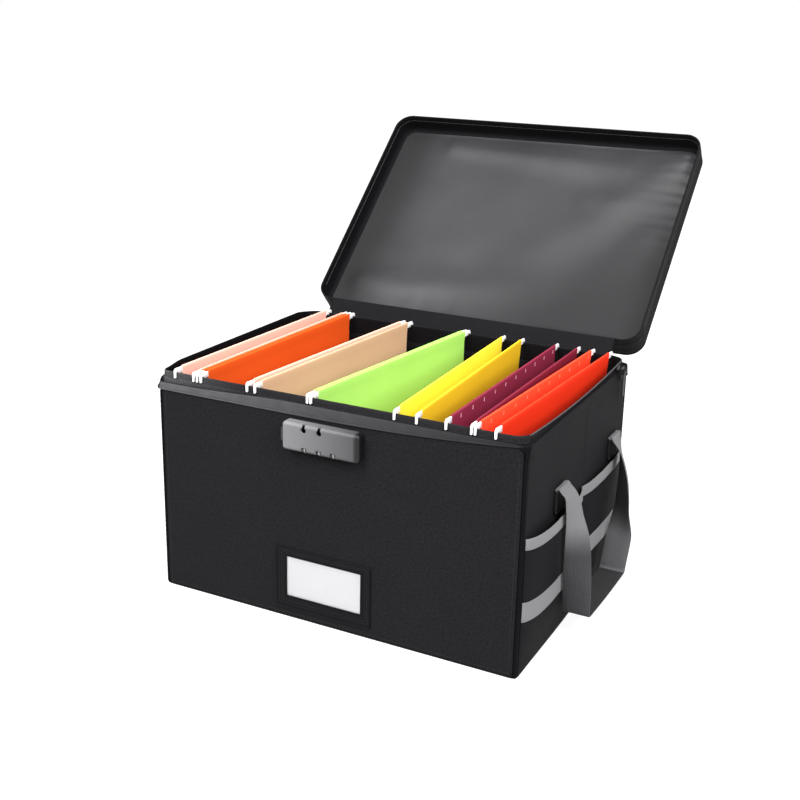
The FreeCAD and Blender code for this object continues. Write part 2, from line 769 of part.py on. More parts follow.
make_walls()
make_rim()
make_lid()
make_hinge_strip()
make_folders()
make_lock()
make_label()
make_pockets()
make_handles()
make_sliders()
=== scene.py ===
import math
import bpy
import bmesh
from mathutils import Matrix, Vector, noise


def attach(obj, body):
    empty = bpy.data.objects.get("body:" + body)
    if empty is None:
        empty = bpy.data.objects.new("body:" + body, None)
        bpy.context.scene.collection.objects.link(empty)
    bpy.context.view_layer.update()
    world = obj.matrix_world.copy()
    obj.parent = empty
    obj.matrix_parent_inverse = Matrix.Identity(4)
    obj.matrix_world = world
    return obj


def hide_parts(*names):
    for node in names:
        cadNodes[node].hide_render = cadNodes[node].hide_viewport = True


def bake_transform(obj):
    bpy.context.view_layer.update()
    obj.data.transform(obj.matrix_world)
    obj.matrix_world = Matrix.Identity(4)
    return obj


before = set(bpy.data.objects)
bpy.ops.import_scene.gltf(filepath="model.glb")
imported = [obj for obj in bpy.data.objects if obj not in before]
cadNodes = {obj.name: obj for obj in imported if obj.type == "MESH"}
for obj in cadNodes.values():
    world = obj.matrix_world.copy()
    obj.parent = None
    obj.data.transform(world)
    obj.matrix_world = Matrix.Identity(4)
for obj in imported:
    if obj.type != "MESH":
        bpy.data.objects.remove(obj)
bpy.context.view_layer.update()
mm = 0.001  # sizes below are in millimetres
boxHalf = (218.0, 160.0)
sides = (("right", 1), ("left", -1))
print("frame loaded:", len(cadNodes), "nodes")


# nodes for shaders and for rows of small things

class Tone:  # one node output that can be added, scaled and so on
    def __init__(self, finish, socket):
        self.finish = finish
        self.socket = socket

    def math(self, operation, *others):
        return self.finish.math(operation, self, *others)

    def __add__(self, other):
        return self.math("ADD", other)

    def __sub__(self, other):
        return self.math("SUBTRACT", other)

    def __rsub__(self, other):
        return self.finish.math("SUBTRACT", other, self)

    def __mul__(self, other):
        return self.math("MULTIPLY", other)

    def __truediv__(self, other):
        return self.math("DIVIDE", other)

    __radd__ = __add__
    __rmul__ = __mul__


def feed(tree, socket, value):
    if isinstance(value, Tone):
        value = value.socket
    if isinstance(value, bpy.types.NodeSocket):
        tree.links.new(value, socket)
    else:
        socket.default_value = value


def addNode(tree, kind, settings, links):
    made = tree.nodes.new(kind)
    for key, value in settings.items():
        setattr(made, key, value)
    for key, value in links.items():
        feed(tree, made.inputs[key], value)
    return made.outputs


def paint(tone):  # screen values from 0 to 255, where one number is a grey
    def straight(value):
        share = value / 255
        return share / 12.92 if share <= 0.04045 else ((share + 0.055) / 1.055) ** 2.4
    colour = tone if isinstance(tone, tuple) else (tone, tone - 1, tone + 1)
    return (*[straight(value) for value in colour], 1.0)


class Finish:  # one material, or the world, and the nodes behind it
    def __init__(self, name, levels, owner=None, shader="Principled BSDF"):
        self.material = owner or bpy.data.materials.new(name)
        self.material.use_nodes = True
        self.tree = self.material.node_tree
        self.shader = self.tree.nodes[shader]
        for socket, value in levels.items():
            self.show(socket, value)

    def show(self, socket, value):
        feed(self.tree, self.shader.inputs[socket], value)

    def node(self, kind, settings, links, output=0):
        return Tone(self, addNode(self.tree, kind, settings, links)[output])

    def math(self, operation, *values):
        return self.node("ShaderNodeMath", {"operation": operation}, dict(enumerate(values)))

    def mix(self, share, *pair):
        first, second = [tone if isinstance(tone, Tone) else paint(tone) for tone in pair]
        return self.node("ShaderNodeMix", {"data_type": "RGBA"}, {0: share, 6: first, 7: second}, 2)

    def ramp(self, value, low, high, unit=mm):
        return self.node("ShaderNodeMapRange", {"interpolation_type": "SMOOTHSTEP"},
                         {"Value": value, "From Min": low * unit, "From Max": high * unit})

    def cloud(self, where, size, detail):
        return self.node("ShaderNodeTexNoise", {},
                         {"Vector": where, "Scale": 1 / (size * mm), "Detail": detail})

    def where(self, kind):
        return self.node("ShaderNodeTexCoord", {}, {}, kind)

    def part(self, vector, axis):
        return self.node("ShaderNodeSeparateXYZ", {}, {0: vector}, axis)

    def wear(self, colour, rough, height, depth):
        self.show("Base Color", colour)
        self.show("Roughness", rough)
        self.show("Normal", self.node("ShaderNodeBump", {}, {"Distance": depth * mm, "Height": height}))
        return self


# finishes

def threadWave(at):
    return at.math("SINE").math("ABSOLUTE")


def clothFinish(name, dark, light, pitch, rough, depth, shine, speckle=0.0):
    made = Finish(name, {"Specular IOR Level": shine})
    where = made.where("UV")
    warp, weft = [made.part(where, axis) / (pitch * mm) for axis in "XY"]
    over = (warp.math("FLOOR") + weft.math("FLOOR")).math("FLOORED_MODULO", 2.0)
    threads = over * threadWave(warp * math.pi) + (1 - over) * threadWave(weft * math.pi)
    slub = made.cloud(where, 2.6, 2.0)
    patchy = made.cloud(where, 60.0, 4.0)
    made.body = threads * 0.3 + ((slub - 0.5) * 2.2 + 0.5) * 0.5 + patchy * 0.2
    if speckle:
        fleck = made.cloud(where, 1.1 * pitch, 1.0)
        made.body = made.body * (1 - speckle) + speckle * ((fleck - 0.5) * 2.4 + 0.5)
    rough = rough + 0.12 * (patchy - 0.5) - 0.08 * threads
    return made.wear(made.mix(made.body, dark, light), rough, threads + slub * 0.6, depth)


def lipFinish(spec):  # coarse strip, paler towards the left
    made = clothFinish("lipCloth", *spec["left"], *spec["weave"])
    along = made.ramp(made.part(made.where("Object"), "X"), *spec["span"])
    left, right = [made.mix(made.body, *spec[side]) for side in ("left", "right")]
    made.show("Base Color", made.mix(along, left, right))


def frontBandFinish(spec):  # the smooth front band, lighter towards the left: painted light
    made = Finish("frontBand", {"Specular IOR Level": 0.2})
    along = made.part(made.where("Object"), "X") / (spec["span"] * mm) + 0.5
    streak = made.cloud(made.where("UV"), 14.0, 4.0)
    fine = made.cloud(made.where("UV"), 1.4, 2.0)
    # painted light: the band's colour is lightened towards its left end
    paintedLightFade = made.mix(along, spec["left"], spec["right"])
    colour = made.mix(streak * 0.5 + fine * 0.25, paintedLightFade, spec["dark"])
    made.wear(colour, 0.55 + 0.2 * (streak - 0.5), fine + streak * 0.5, 0.06)


def liningFinish(spec):
    made = Finish("lidLiningFilm", {"Specular IOR Level": spec["shine"]})
    where = made.where("UV")
    across, along = made.part(where, "X"), made.part(where, "Y")
    wide, high = spec["flat"]
    ribs = (along * (2 * math.pi / (spec["rib"] * mm))).math("SINE")
    patchy = made.cloud(where, 90.0, 3.0)
    crinkle = made.cloud(where, 9.0, 4.0)
    # stretched streaks in the film's colour: a brushed texture and partly painted sheen
    grain = made.node("ShaderNodeMapping", {}, {"Vector": where, "Scale": (0.04, 1.0, 1.0)})
    brushedStreaksAndSheen = made.cloud(grain, 1.6, 2.0)
    body = made.mix(patchy * 0.5 + brushedStreaksAndSheen * 0.35 + crinkle * 0.15, spec["dark"], spec["light"])
    # painted shade: the film darkens towards its right corner by the hinge
    slant = across / (wide * mm) - along * (spec["slant"] / (high * mm))
    corner = made.ramp(slant, *spec["paintedShadeCornerFade"], 1)
    body = made.mix(corner * spec["corner"], body, spec["edge"])
    inward = {"left": across, "right": wide * mm - across, "low": along, "high": high * mm - along}
    clearOfPaintedShade = 1.0
    for edge, (start, fade) in spec["edges"].items():  # painted shade: the film darkens where it turns up the walls
        reach = inward[edge] + (patchy - 0.5) * (spec["wander"] * mm)
        clearOfPaintedShade = made.ramp(reach, start, start + fade) * clearOfPaintedShade
    rough = spec["rough"] + 0.14 * (patchy - 0.5) + 0.05 * ribs + 0.3 * (1 - clearOfPaintedShade) + 0.35 * corner
    made.wear(made.mix(clearOfPaintedShade, spec["edge"], body), rough, crinkle + 0.06 * ribs, 0.1)


def ribbedFinish(name, dark, light, pitch, rough, depth):  # woven tape with cross ribs
    made = Finish(name, {"Specular IOR Level": 0.15, "Sheen Weight": 0.06})
    where = made.where("UV")
    ribs = threadWave(made.part(where, "X") * (math.pi / (pitch * mm)))
    cross = threadWave(made.part(where, "Y") * (math.pi / (1.6 * pitch * mm)))
    fuzz = made.cloud(where, 1.8, 3.0)
    patchy = made.cloud(where, 45.0, 3.0)
    made.body = ribs * 0.35 + cross * 0.2 + fuzz * 0.25 + patchy * 0.2
    rough = rough + 0.1 * (fuzz - 0.5)
    return made.wear(made.mix(made.body, dark, light), rough, ribs + 0.5 * cross, depth)


def fadedFinish(name, upper, lower, fade):  # webbing whose tone changes between two heights: painted light and shade along the strap
    made = ribbedFinish(name, *upper, 1.5, 0.75, 0.25)
    height = made.ramp(made.part(made.where("Object"), "Z"), *fade)
    made.show("Base Color", made.mix(height, made.mix(made.body, *lower), made.mix(made.body, *upper)))


def cardFinish(name, colour, shade):  # pressed card stock with short fibres
    made = Finish(name, {"Specular IOR Level": 0.25})
    where = made.where("UV")
    fibre = made.cloud(where, 1.4, 4.0)
    cloudy = made.cloud(where, 70.0, 3.0)
    colour = made.mix(cloudy * 0.6 + fibre * 0.4, shade, colour)
    made.wear(colour, 0.68 + 0.16 * (fibre - 0.5), fibre, 0.05)


def solidFinish(name, dark, light, rough, grain, depth, shine=0.5, metal=0.0):
    made = Finish(name, {"Metallic": metal, "Specular IOR Level": shine})
    where = made.where("Object")
    fine = made.cloud(where, grain, 3.0)
    broad = made.cloud(where, 22.0, 3.0)
    rough = rough + 0.14 * (broad - 0.5) + 0.1 * (fine - 0.5)
    return made.wear(made.mix(broad * 0.6 + fine * 0.4, dark, light), rough, fine, depth)


def lockFinish(spec):  # satin grey shell, darker to the right as painted light from the left, with a black end that is partly painted shade
    made = solidFinish("lockGraphite", spec["left"], spec["right"], 0.42, spec["grain"], 0.006, 0.3)
    where = made.where("Object")
    across = made.part(where, "X")
    start, stop = spec["span"]
    along = (across - start * mm) / ((stop - start) * mm)
    fine = made.cloud(where, spec["grain"], 3.0)
    # painted light: the shell's colour darkens from left to right
    shellWithPaintedLight = made.mix(along + 0.12 * (fine - 0.5), spec["left"], spec["right"])
    made.show("Base Color", made.mix(made.ramp(across, *spec["cap"]), shellWithPaintedLight, spec["end"]))


def filmFinish():  # clear window over the label card
    made = Finish("clearFilm", {"IOR": 1.45, "Alpha": 0.06})
    smear = made.cloud(made.where("Object"), 14.0, 2.0)
    made.show("Base Color", made.mix(smear, 236, 252))
    made.show("Roughness", 0.06 + 0.08 * smear)


clothTones = {  # dark, light, thread pitch, roughness, depth of the weave, shine
    "blackOxford": (14, 36, 1.1, 0.78, 0.2, 0.04),
    "pocketCloth": (12, 32, 1.1, 0.8, 0.2, 0.04),
    "innerCloth": (7, 17, 1.0, 0.75, 0.1, 0.04),
    "zipCloth": (8, 21, 0.9, 0.65, 0.14, 0.06),
    "pipingCord": (5, 15, 0.9, 0.7, 0.12, 0.04),
}
tapeTones = {  # dark, light, rib pitch, roughness, depth of the ribs
    "greyTape": (88, 142, 1.3, 0.75, 0.18),
    # webbingRun is the bottom run's inner face, dark as painted shade
    "webbingRun": (18, 42, 1.5, 0.78, 0.25),
}
webbingTones = {  # above, below, heights between which they change; the change is painted light and shade
    "greyWebbing": ((82, 128), (38, 68), (98.0, 140.0)),
    "webbingBack": ((16, 36), (58, 104), (62.0, 104.0)),
}
solidTones = {  # dark, light, roughness, grain, depth of the grain, shine, metal
    "threadBlack": (22, 48, 0.55, 0.3, 0.03, 0.2),
    "threadGrey": (96, 132, 0.6, 0.3, 0.03, 0.2),
    "threadDim": (52, 84, 0.6, 0.3, 0.03, 0.1),
    "zipTeeth": (7, 18, 0.55, 0.4, 0.01, 0.15),
    "blackBoard": (12, 26, 0.85, 1.2, 0.05, 0.1),
    "plainSteel": (150, 190, 0.3, 0.5, 0.01, 0.5, 1.0),
    "lockBlack": (16, 26, 0.32, 0.4, 0.008),
    "blackPvc": (5, 14, 0.5, 0.9, 0.05, 0.07),
    "zipEnamel": (9, 22, 0.45, 0.6, 0.008, 0.2),
    "hookWhite": (236, 252, 0.36, 0.5, 0.01),
    "bareCard": (251, 254, 0.62, 0.3, 0.012, 0.3),
    "digitWhite": (214, 240, 0.45, 0.3, 0.004),
    "maroonSlot": ((196, 120, 140), (232, 170, 186), 0.6, 0.4, 0.01, 0.25),
    "redSlot": ((255, 112, 84), (255, 140, 112), 0.6, 0.4, 0.01, 0.25),
}
for maker, table in ((clothFinish, clothTones), (ribbedFinish, tapeTones), (fadedFinish, webbingTones),
                     (solidFinish, solidTones)):
    for name, levels in table.items():
        maker(name, *levels)
frontBandFinish({"left": 92, "right": 14, "dark": 24, "span": 400.0})
lipFinish({"left": (36, 86), "right": (8, 48), "span": (-226.0, -96.0),
           "weave": (1.6, 0.75, 0.3, 0.05, 0.45)})
liningFinish({
    # edge is the tone of the painted shade at the walls and in the corner
    "dark": 32, "light": 56, "edge": 18, "rough": 0.4, "shine": 0.3, "rib": 2.4, "wander": 30.0,
    # slant, corner and the corner fade place the painted shade in one corner
    "flat": (496.0, 380.0), "slant": 0.9, "corner": 0.8, "paintedShadeCornerFade": (0.05, 0.6),
    # how far in from each edge the painted shade ends, and over what run
    "edges": {"left": (52.0, 80.0), "right": (14.0, 14.0), "low": (32.0, 18.0), "high": (18.0, 22.0)},
})
lockFinish({"left": 112, "right": 60, "end": 12, "span": (-51.0, 41.0), "cap": (33.0, 37.5), "grain": 0.25})
filmFinish()
folderTones = {  # inside, outside; where they differ, the lighter inside is partly painted light
    "pale": ((250, 196, 178), (246, 180, 160)),
    "orange": ((236, 92, 26), (236, 88, 22)),
    "tan": ((250, 200, 176), (226, 178, 146)),
    "green": ((178, 240, 116), (178, 240, 116)),
    "yellow": ((255, 236, 70), (255, 206, 36)),
    "maroon": ((140, 40, 66), (124, 28, 52)),
    "red": ((255, 84, 50), (255, 52, 16)),
}
for colour, pair in folderTones.items():
    for side, tone in zip(("Inside", "Outside"), pair):
        darker = tuple(max(0, value * 0.94 - 3) for value in tone)
        cardFinish(colour + "Card" + side, tone, darker)
print("finishes made:", len(bpy.data.materials))


# mesh helpers, all in millimetres until the mesh is made

def between(value, low, high):
    return min(1.0, max(0.0, (value - low) / (high - low)))


def smooth(share):
    return share * share * (3 - 2 * share)


def ripple(x, y, size, seed):
    return noise.noise(Vector((x / size, y / size, seed)))


def swing(angle):  # a direction in the plane of two axes, from an angle in degrees
    return math.cos(math.radians(angle)), math.sin(math.radians(angle))


def runs(points, closed):
    total = [0.0]
    ends = points[1:] + (points[:1] if closed else [])
    for start, end in zip(points, ends):
        total.append(total[-1] + (end - start).length)
    return total


def skin(name, rows, across=False, along=False, caps=None, flat=None):  # rings across or along
    high, wide = len(rows), len(rows[0])
    acrossRun = runs(rows[high // 2], across)
    alongRun = runs([row[wide // 2] for row in rows], along)

    def spot(i, j):  # place on the flat cloth
        return flat[i][j] if flat else (acrossRun[j], alongRun[i])

    faces, corners = [], []
    for i in range(high if along else high - 1):
        for j in range(wide if across else wide - 1):
            k, l = (i + 1) % high, (j + 1) % wide
            faces.append((i * wide + j, i * wide + l, k * wide + l, k * wide + j))
            corners += [spot(i, j), spot(i, j + 1), spot(i + 1, j + 1), spot(i + 1, j)]
    if caps == "rows":  # close the first and the last row
        faces.append(tuple(reversed(range(wide))))
        faces.append(tuple(range((high - 1) * wide, high * wide)))
        corners += [(acrossRun[j], 0.0) for j in range(wide)] * 2
    if caps == "columns":
        faces.append(tuple(i * wide for i in range(high)))
        faces.append(tuple(i * wide + wide - 1 for i in reversed(range(high))))
        corners += [(0.0, alongRun[i]) for i in range(high)] * 2
    mesh = bpy.data.meshes.new(name)
    mesh.from_pydata([p * mm for row in rows for p in row], [], faces)
    layer = mesh.uv_layers.new(name="cloth")
    layer.data.foreach_set("uv", [value * mm for pair in corners for value in pair])
    mesh.validate()
    return mesh


def link(thing):
    bpy.context.scene.collection.objects.link(thing)
    return thing


def place(name, mesh, body, finishes, stands=(), thick=0.0, sharp=40):
    piece = link(bpy.data.objects.new(name, mesh))
    if not mesh.materials:  # rows of small things bring their own
        for finish in finishes.split():
            mesh.materials.append(bpy.data.materials[finish])
    mesh.shade_smooth()
    mesh.set_sharp_from_angle(angle=math.radians(sharp))
    if thick:
        wall = piece.modifiers.new("thickness", "SOLIDIFY")
        wall.thickness = thick * mm
        wall.offset = -1.0
    if body:
        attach(piece, body)
    if stands:
        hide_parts(*stands)
    return piece


def sew(name, rows, body, finishes, slot, stands=(), thick=0.0, sharp=40, pick=None, **form):
    mesh = skin(name, rows, **form)
    if pick:  # which of the finishes each face has
        for face in mesh.polygons:
            row, column = divmod(face.vertices[0], len(rows[0]))
            face.material_index = pick(row, column, face.center / mm)
    if body == "lid":  # shaped closed
        mesh.transform(openTurn)
    return place(name, mesh, body, finishes, stands, thick, sharp)


loopCells = (64, 46, 12)  # along the front, along a side, round a corner


def roundLoop(half, radius, z, offset=0.0, cells=loopCells):  # anticlockwise from the right side's front
    wide, deep, turn = cells
    radii = radius if isinstance(radius, tuple) else (radius,) * 4  # from the rear right, anticlockwise
    radii = [r + offset for r in radii]
    signs = ((1, 1), (-1, 1), (-1, -1), (1, -1))
    halfX, halfY = half[0] + offset, half[1] + offset
    centres = [Vector((sx * (halfX - r), sy * (halfY - r), z)) for (sx, sy), r in zip(signs, radii)]
    loop = []
    for n in range(4):
        out = Vector((*swing(90 * n), 0))
        begin, end = centres[n - 1] + out * radii[n - 1], centres[n] + out * radii[n]
        count = wide if n % 2 else deep
        loop += [begin.lerp(end, k / count) for k in range(count)]
        for k in range(turn):
            loop.append(centres[n] + Vector((*swing(90 * n + 90 * k / turn), 0)) * radii[n])
    return loop


flatMargin = 5.0


def tray(half, corner, steps, cells, axes, relief=None):  # edges follow the steps: inset, height
    rim = len(steps) - 1
    nx, ny = [count + 2 * rim for count in cells]
    core = [size - steps[rim][0] for size in half]
    unfold = [0.0] * (rim + 1)
    for n in range(rim - 1, -1, -1):
        unfold[n] = unfold[n + 1] + math.dist(steps[n], steps[n + 1])
    across, up, origin = [Vector(axis) for axis in axes]
    out = across.cross(up)
    rows, flatRows = [], []
    for j in range(ny + 1):
        row, flat = [], []
        for i in range(nx + 1):
            ring = min(i, nx - i, j, ny - j, rim)
            inset, height = steps[ring]
            halfX, halfY = half[0] - inset, half[1] - inset
            shares = 2 * (i - ring) / (nx - 2 * ring) - 1, 2 * (j - ring) / (ny - 2 * ring) - 1
            x, y = halfX * shares[0], halfY * shares[1]
            radius = max(corner - inset, 0.0)
            overX, overY = abs(x) - (halfX - radius), abs(y) - (halfY - radius)
            if radius and overX > 0 and overY > 0:  # pull the corner square onto its arc
                pull = max(overX, overY) / math.hypot(overX, overY)
                x = math.copysign(halfX - radius + overX * pull, x)
                y = math.copysign(halfY - radius + overY * pull, y)
            if relief:
                height += relief(x, y, inset / steps[rim][0])
            row.append(origin + across * x + up * y + out * height)
            flat.append([size + unfold[0] + (size + unfold[ring]) * share + flatMargin
                         for size, share in zip(core, shares)])
        rows.append(row)
        flatRows.append(flat)
    return rows, flatRows


# rows of small things along paths

def rowTree(name, shape, shapeInputs):
    tree = bpy.data.node_groups.new(name, "GeometryNodeTree")
    sockets = {"Paths": "Geometry", "Pitch": "Float", "Size": "Vector", "Up": "Vector",
               "Unevenness": "Float", "Seed": "Int", "Finish": "Material"}
    for label, kind in sockets.items():
        tree.interface.new_socket(label, in_out="INPUT", socket_type="NodeSocket" + kind)
    tree.interface.new_socket("Row", in_out="OUTPUT", socket_type="NodeSocketGeometry")

    def add(kind, links, **settings):
        return addNode(tree, kind, settings, links)

    given = add("NodeGroupInput", {})
    curves = add("GeometryNodeMeshToCurve", {"Mesh": given["Paths"]})
    spots = add("GeometryNodeCurveToPoints", {"Curve": curves["Curve"], "Length": given["Pitch"]},
                mode="LENGTH")
    along = add("FunctionNodeAlignRotationToVector", {"Vector": spots["Tangent"]}, axis="Z")
    stand = add("FunctionNodeAlignRotationToVector", {"Rotation": along["Rotation"], "Vector": given["Up"]},
                axis="X", pivot_axis="Z")
    low = add("ShaderNodeMath", {0: 1.0, 1: given["Unevenness"]}, operation="SUBTRACT")
    high = add("ShaderNodeMath", {0: 1.0, 1: given["Unevenness"]}, operation="ADD")
    vary = add("FunctionNodeRandomValue", {2: low[0], 3: high[0], "Seed": given["Seed"]}, data_type="FLOAT")
    size = add("ShaderNodeVectorMath", {0: given["Size"], "Scale": vary[1]}, operation="SCALE")
    form = add(shape, shapeInputs)
    copies = add("GeometryNodeInstanceOnPoints", {"Points": spots["Points"], "Instance": form["Mesh"],
                                                  "Rotation": stand["Rotation"], "Scale": size[0]})
    whole = add("GeometryNodeRealizeInstances", {"Geometry": copies["Instances"]})
    coloured = add("GeometryNodeSetMaterial", {"Geometry": whole["Geometry"], "Material": given["Finish"]})
    add("NodeGroupOutput", {"Row": coloured["Geometry"]})
    return tree


stitchTree = rowTree("stitchRow", "GeometryNodeMeshUVSphere", {"Segments": 6, "Rings": 4, "Radius": 1.0})
plateTree = rowTree("plateRow", "GeometryNodeMeshCube", {"Size": (2.0, 2.0, 2.0)})


def meshNow(holder):  # the mesh of an object with its modifiers, which is then removed
    link(holder)
    bpy.context.view_layer.update()
    seen = holder.evaluated_get(bpy.context.evaluated_depsgraph_get())
    mesh = bpy.data.meshes.new_from_object(seen)
    holder.modifiers.clear()
    bpy.data.objects.remove(holder)
    return mesh


def rowPiece(name, paths, spec, body, slot, finish, **changes):
    spec = dict(spec, **changes)
    edges, start = [], 0
    for path in paths:
        edges += [(start + n, start + n + 1) for n in range(len(path) - 1)]
        start += len(path)
    lines = bpy.data.meshes.new(name + "Lines")
    lines.from_pydata([p * mm for path in paths for p in path], edges, [])
    holder = bpy.data.objects.new(name + "Holder", lines)
    rows = holder.modifiers.new("rows", "NODES")
    rows.node_group = spec["tree"]
    values = {"Pitch": spec["pitch"] * mm, "Size": [v * mm for v in spec["size"]], "Up": spec["up"],
              "Unevenness": spec["uneven"], "Seed": spec["seed"], "Finish": bpy.data.materials[finish]}
    for item in rows.node_group.interface.items_tree:
        if item.in_out == "INPUT" and item.name in values:
            rows[item.identifier] = values[item.name]
    mesh = meshNow(holder)
    mesh.name = name
    return place(name, mesh, body, finish, sharp=70)


def straightPath(start, end, step=10.0):
    start, end = Vector(start), Vector(end)
    count = max(2, int((end - start).length / step))
    return [start.lerp(end, n / count) for n in range(count + 1)]


def closed(loop):
    return loop + loop[:1]


# outer walls

wallSpec = {
    "half": {"front": (213.6, 118.9), "side": (155.6, 118.9), "base": boxHalf},
    "cells": {"front": (86, 48), "side": (64, 48), "base": (60, 44)},
    "corner": {"front": 1.0, "side": 1.0, "base": 4.4},
    "middle": 120.1, "edge": [(0.0, -0.6), (0.35, -0.3), (1.0, -0.1), (2.6, 0.0)], "thick": 0.55,
    "crease": 14.0, "creaseWide": 1.3, "creaseDeep": 0.8, "ripple": 0.16, "rippleSize": 46.0,
    "drawn": (205.0, 239.0),  # where the front is drawn up under the climbing seam
}


def wallRelief(seed, crease):
    def relief(x, y, inside):
        depth = -wallSpec["ripple"] * inside * (0.5 + 0.5 * ripple(x, y, wallSpec["rippleSize"], seed))
        if crease:
            depth -= wallSpec["creaseDeep"] * math.exp(-((x - crease) / wallSpec["creaseWide"]) ** 2)
        return depth
    return relief


def makeWalls():
    wide, deep = boxHalf
    z, fold = wallSpec["middle"], wallSpec["crease"]
    upright = (0, 0, 1)
    walls = (  # name, kind, across, up, origin, board, place of the crease, seed
        ("front", "front", (1, 0, 0), upright, (0, -deep, z), "front_board", 0, 3.1),
        ("back", "front", (-1, 0, 0), upright, (0, deep, z), "back_board", 0, 7.7),
        ("right", "side", (0, 1, 0), upright, (wide, 0, z), "right_side_boards", fold, 11.3),
        ("left", "side", (0, -1, 0), upright, (-wide, 0, z), "left_side_boards", -fold, 17.9),
        ("base", "base", (1, 0, 0), (0, -1, 0), (0, 0, 0), "base_board", 0, 23.4),
    )
    for label, kind, across, up, origin, board, crease, seed in walls:
        half = wallSpec["half"][kind]
        rows, flat = tray(half, wallSpec["corner"][kind], wallSpec["edge"], wallSpec["cells"][kind],
                          (across, up, origin), wallRelief(seed, crease))
        if label == "front":
            drawn = wallSpec["drawn"]
            rows = [[p + Vector((0, 0, seamRise(p.x) * between(p.z, *drawn))) for p in row] for row in rows]
        cover = "bottom_cover" if label == "base" else label + "_cover"
        panel = sew(label + "_panel", rows, "box", "blackOxford", "cover_fabric", (cover,), wallSpec["thick"],
                    flat=flat)


pipingSpec = {"radius": 2.2, "bottom": 1.0, "top": 237.5, "highTop": 248.5, "ridge": 0.09, "steps": 80,
              "around": 16, "taper": 0.6,
              "corners": {"right_front": (1, -1), "right_rear": (1, 1), "left_rear": (-1, 1),
                          "left_front": (-1, -1)}}


def makeCornerPiping():
    steps, bottom, r = pipingSpec["steps"], pipingSpec["bottom"], pipingSpec["radius"]
    for side, (sx, sy) in pipingSpec["corners"].items():
        centre = Vector((sx * (boxHalf[0] - r), sy * (boxHalf[1] - r), 0))
        top = pipingSpec["highTop" if side == "right_front" else "top"]
        rows = []
        for n in range(steps + 1):
            z = bottom + (top - bottom) * n / steps
            taper = pipingSpec["taper"] if n in (0, steps) else 1.0
            ring = []
            for k in range(pipingSpec["around"]):
                a = 2 * math.pi * k / pipingSpec["around"]
                radius = taper * (r - pipingSpec["ridge"] * (1 + math.sin(a * 2 + z)))
                ring.append(centre + Vector((radius * math.cos(a), radius * math.sin(a), z)))
            rows.append(ring)
        sew("corner_cord_" + side, rows, "box", "pipingCord", "piping_cord", ("corner_piping",),
            across=True, caps="rows")


# rim: the smooth band, the woven lip and the zip's lower half

bandSpec = {
    "half": (219.2, 161.2), "footRadius": 3.4, "topRadius": 8.0, "leastRadius": 1.5,
    "foot": 237.5, "seam": 239.0, "top": 251.5, "frontFrom": -150.0, "frontHalf": 216.0,
    "profile": [(237.5, -0.7), (237.6, -0.2), (238.0, 0.1), (238.7, 0.14), (239.3, 0.0), (240.2, -0.2),
                (242.0, -0.05), (245.0, 0.05), (248.0, 0.05), (250.4, 0.0), (251.1, -0.15), (251.45, -0.5),
                (251.45, -0.8)],
    "web": [251.2, 248.0, 243.0, 238.0], "webGap": 0.05,  # inside, lying against the lip
    "frontTurn": (150.0, 158.0), "rightFade": (214.5, 217.5),  # where the lean of the front begins and ends
    "leftDrop": 5.0, "drop": (40.0, 190.0),  # the front edge sags at the left
    "rightRise": 12.4, "rise": (-36.0, 215.0), "risePower": 2.2,  # and the seam climbs to the right
    "edgeRow": 9, "cordCorner": (211.0, -153.0),
    # on the sides the band runs smoothly into the wall
    "sideFrom": 214.0, "sideFoot": 233.0, "sideTop": 239.3, "sideHalf": 150.0, "sideRun": 10.0,
    "wall": 218.05,
    # fold at the left front corner: size, height and spread, place and spread, how far left
    "knob": (2.2, 242.0, 3.2, -158.0, 12.0, -200.0),
}
lipSpec = {
    "half": (216.8, 158.8), "radii": (18.0, 18.0, 10.0, 18.0), "top": 259.0, "dipFrom": 250.0,
    "sides": 205.0, "dip": 5.5, "dipHalf": 140.8, "leftRise": 3.5, "leftHalf": 152.0, "leftRun": 30.0,
    "profile": [(237.2, 0.0), (241.0, 0.0), (246.0, 0.0), (250.2, 0.0), (250.8, -0.25), (251.3, -0.85),
                (252.2, -1.0), (254.5, -1.0), (256.8, -1.0), (258.2, -1.1), (258.8, -1.5), (259.0, -2.0),
                (258.8, -2.5), (258.2, -2.9), (256.0, -3.0), (250.0, -3.0), (243.0, -3.0), (237.2, -3.0)],
    "outerRows": 12, "edgeRow": 9, "sideFrom": 214.0, "sideHalf": 148.0,
}


def seamRise(x):  # how far the front seam has climbed
    return bandSpec["rightRise"] * between(x, *bandSpec["rise"]) ** bandSpec["risePower"]


def bandPoint(p):  # the band's front leans from a low left edge to a high right seam
    front = smooth(between(-p.y, *bandSpec["frontTurn"]))
    front *= 1 - smooth(between(p.x, *bandSpec["rightFade"]))
    up = between(p.z, bandSpec["foot"], bandSpec["top"])
    drop = bandSpec["leftDrop"] * smooth(between(-p.x, *bandSpec["drop"]))
    lift = front * (seamRise(p.x) * (1 - up) - drop * up)
    size, high, spread, spot, along, left = bandSpec["knob"]
    knob = 0.0
    if p.x < left:
        knob = size * math.exp(-((p.z - high) / spread) ** 2 - ((p.y - spot) / along) ** 2)
    return Vector((p.x - knob, p.y, p.z + lift))


def sidePoint(p):  # the band's foot runs down the side walls without a step
    foot, top, wall = bandSpec["sideFoot"], bandSpec["sideTop"], bandSpec["wall"]
    if p.z > top or abs(p.x) < bandSpec["sideFrom"]:
        return p
    share = between(p.z, bandSpec["foot"], top)
    level = smooth(between(bandSpec["sideHalf"] - abs(p.y), 0.0, bandSpec["sideRun"]))
    low = foot + (top - foot) * share
    flush = math.copysign(wall + (bandSpec["half"][0] - wall) * share, p.x)
    return Vector((p.x + (flush - p.x) * level, p.y, p.z + (low - p.z) * level))


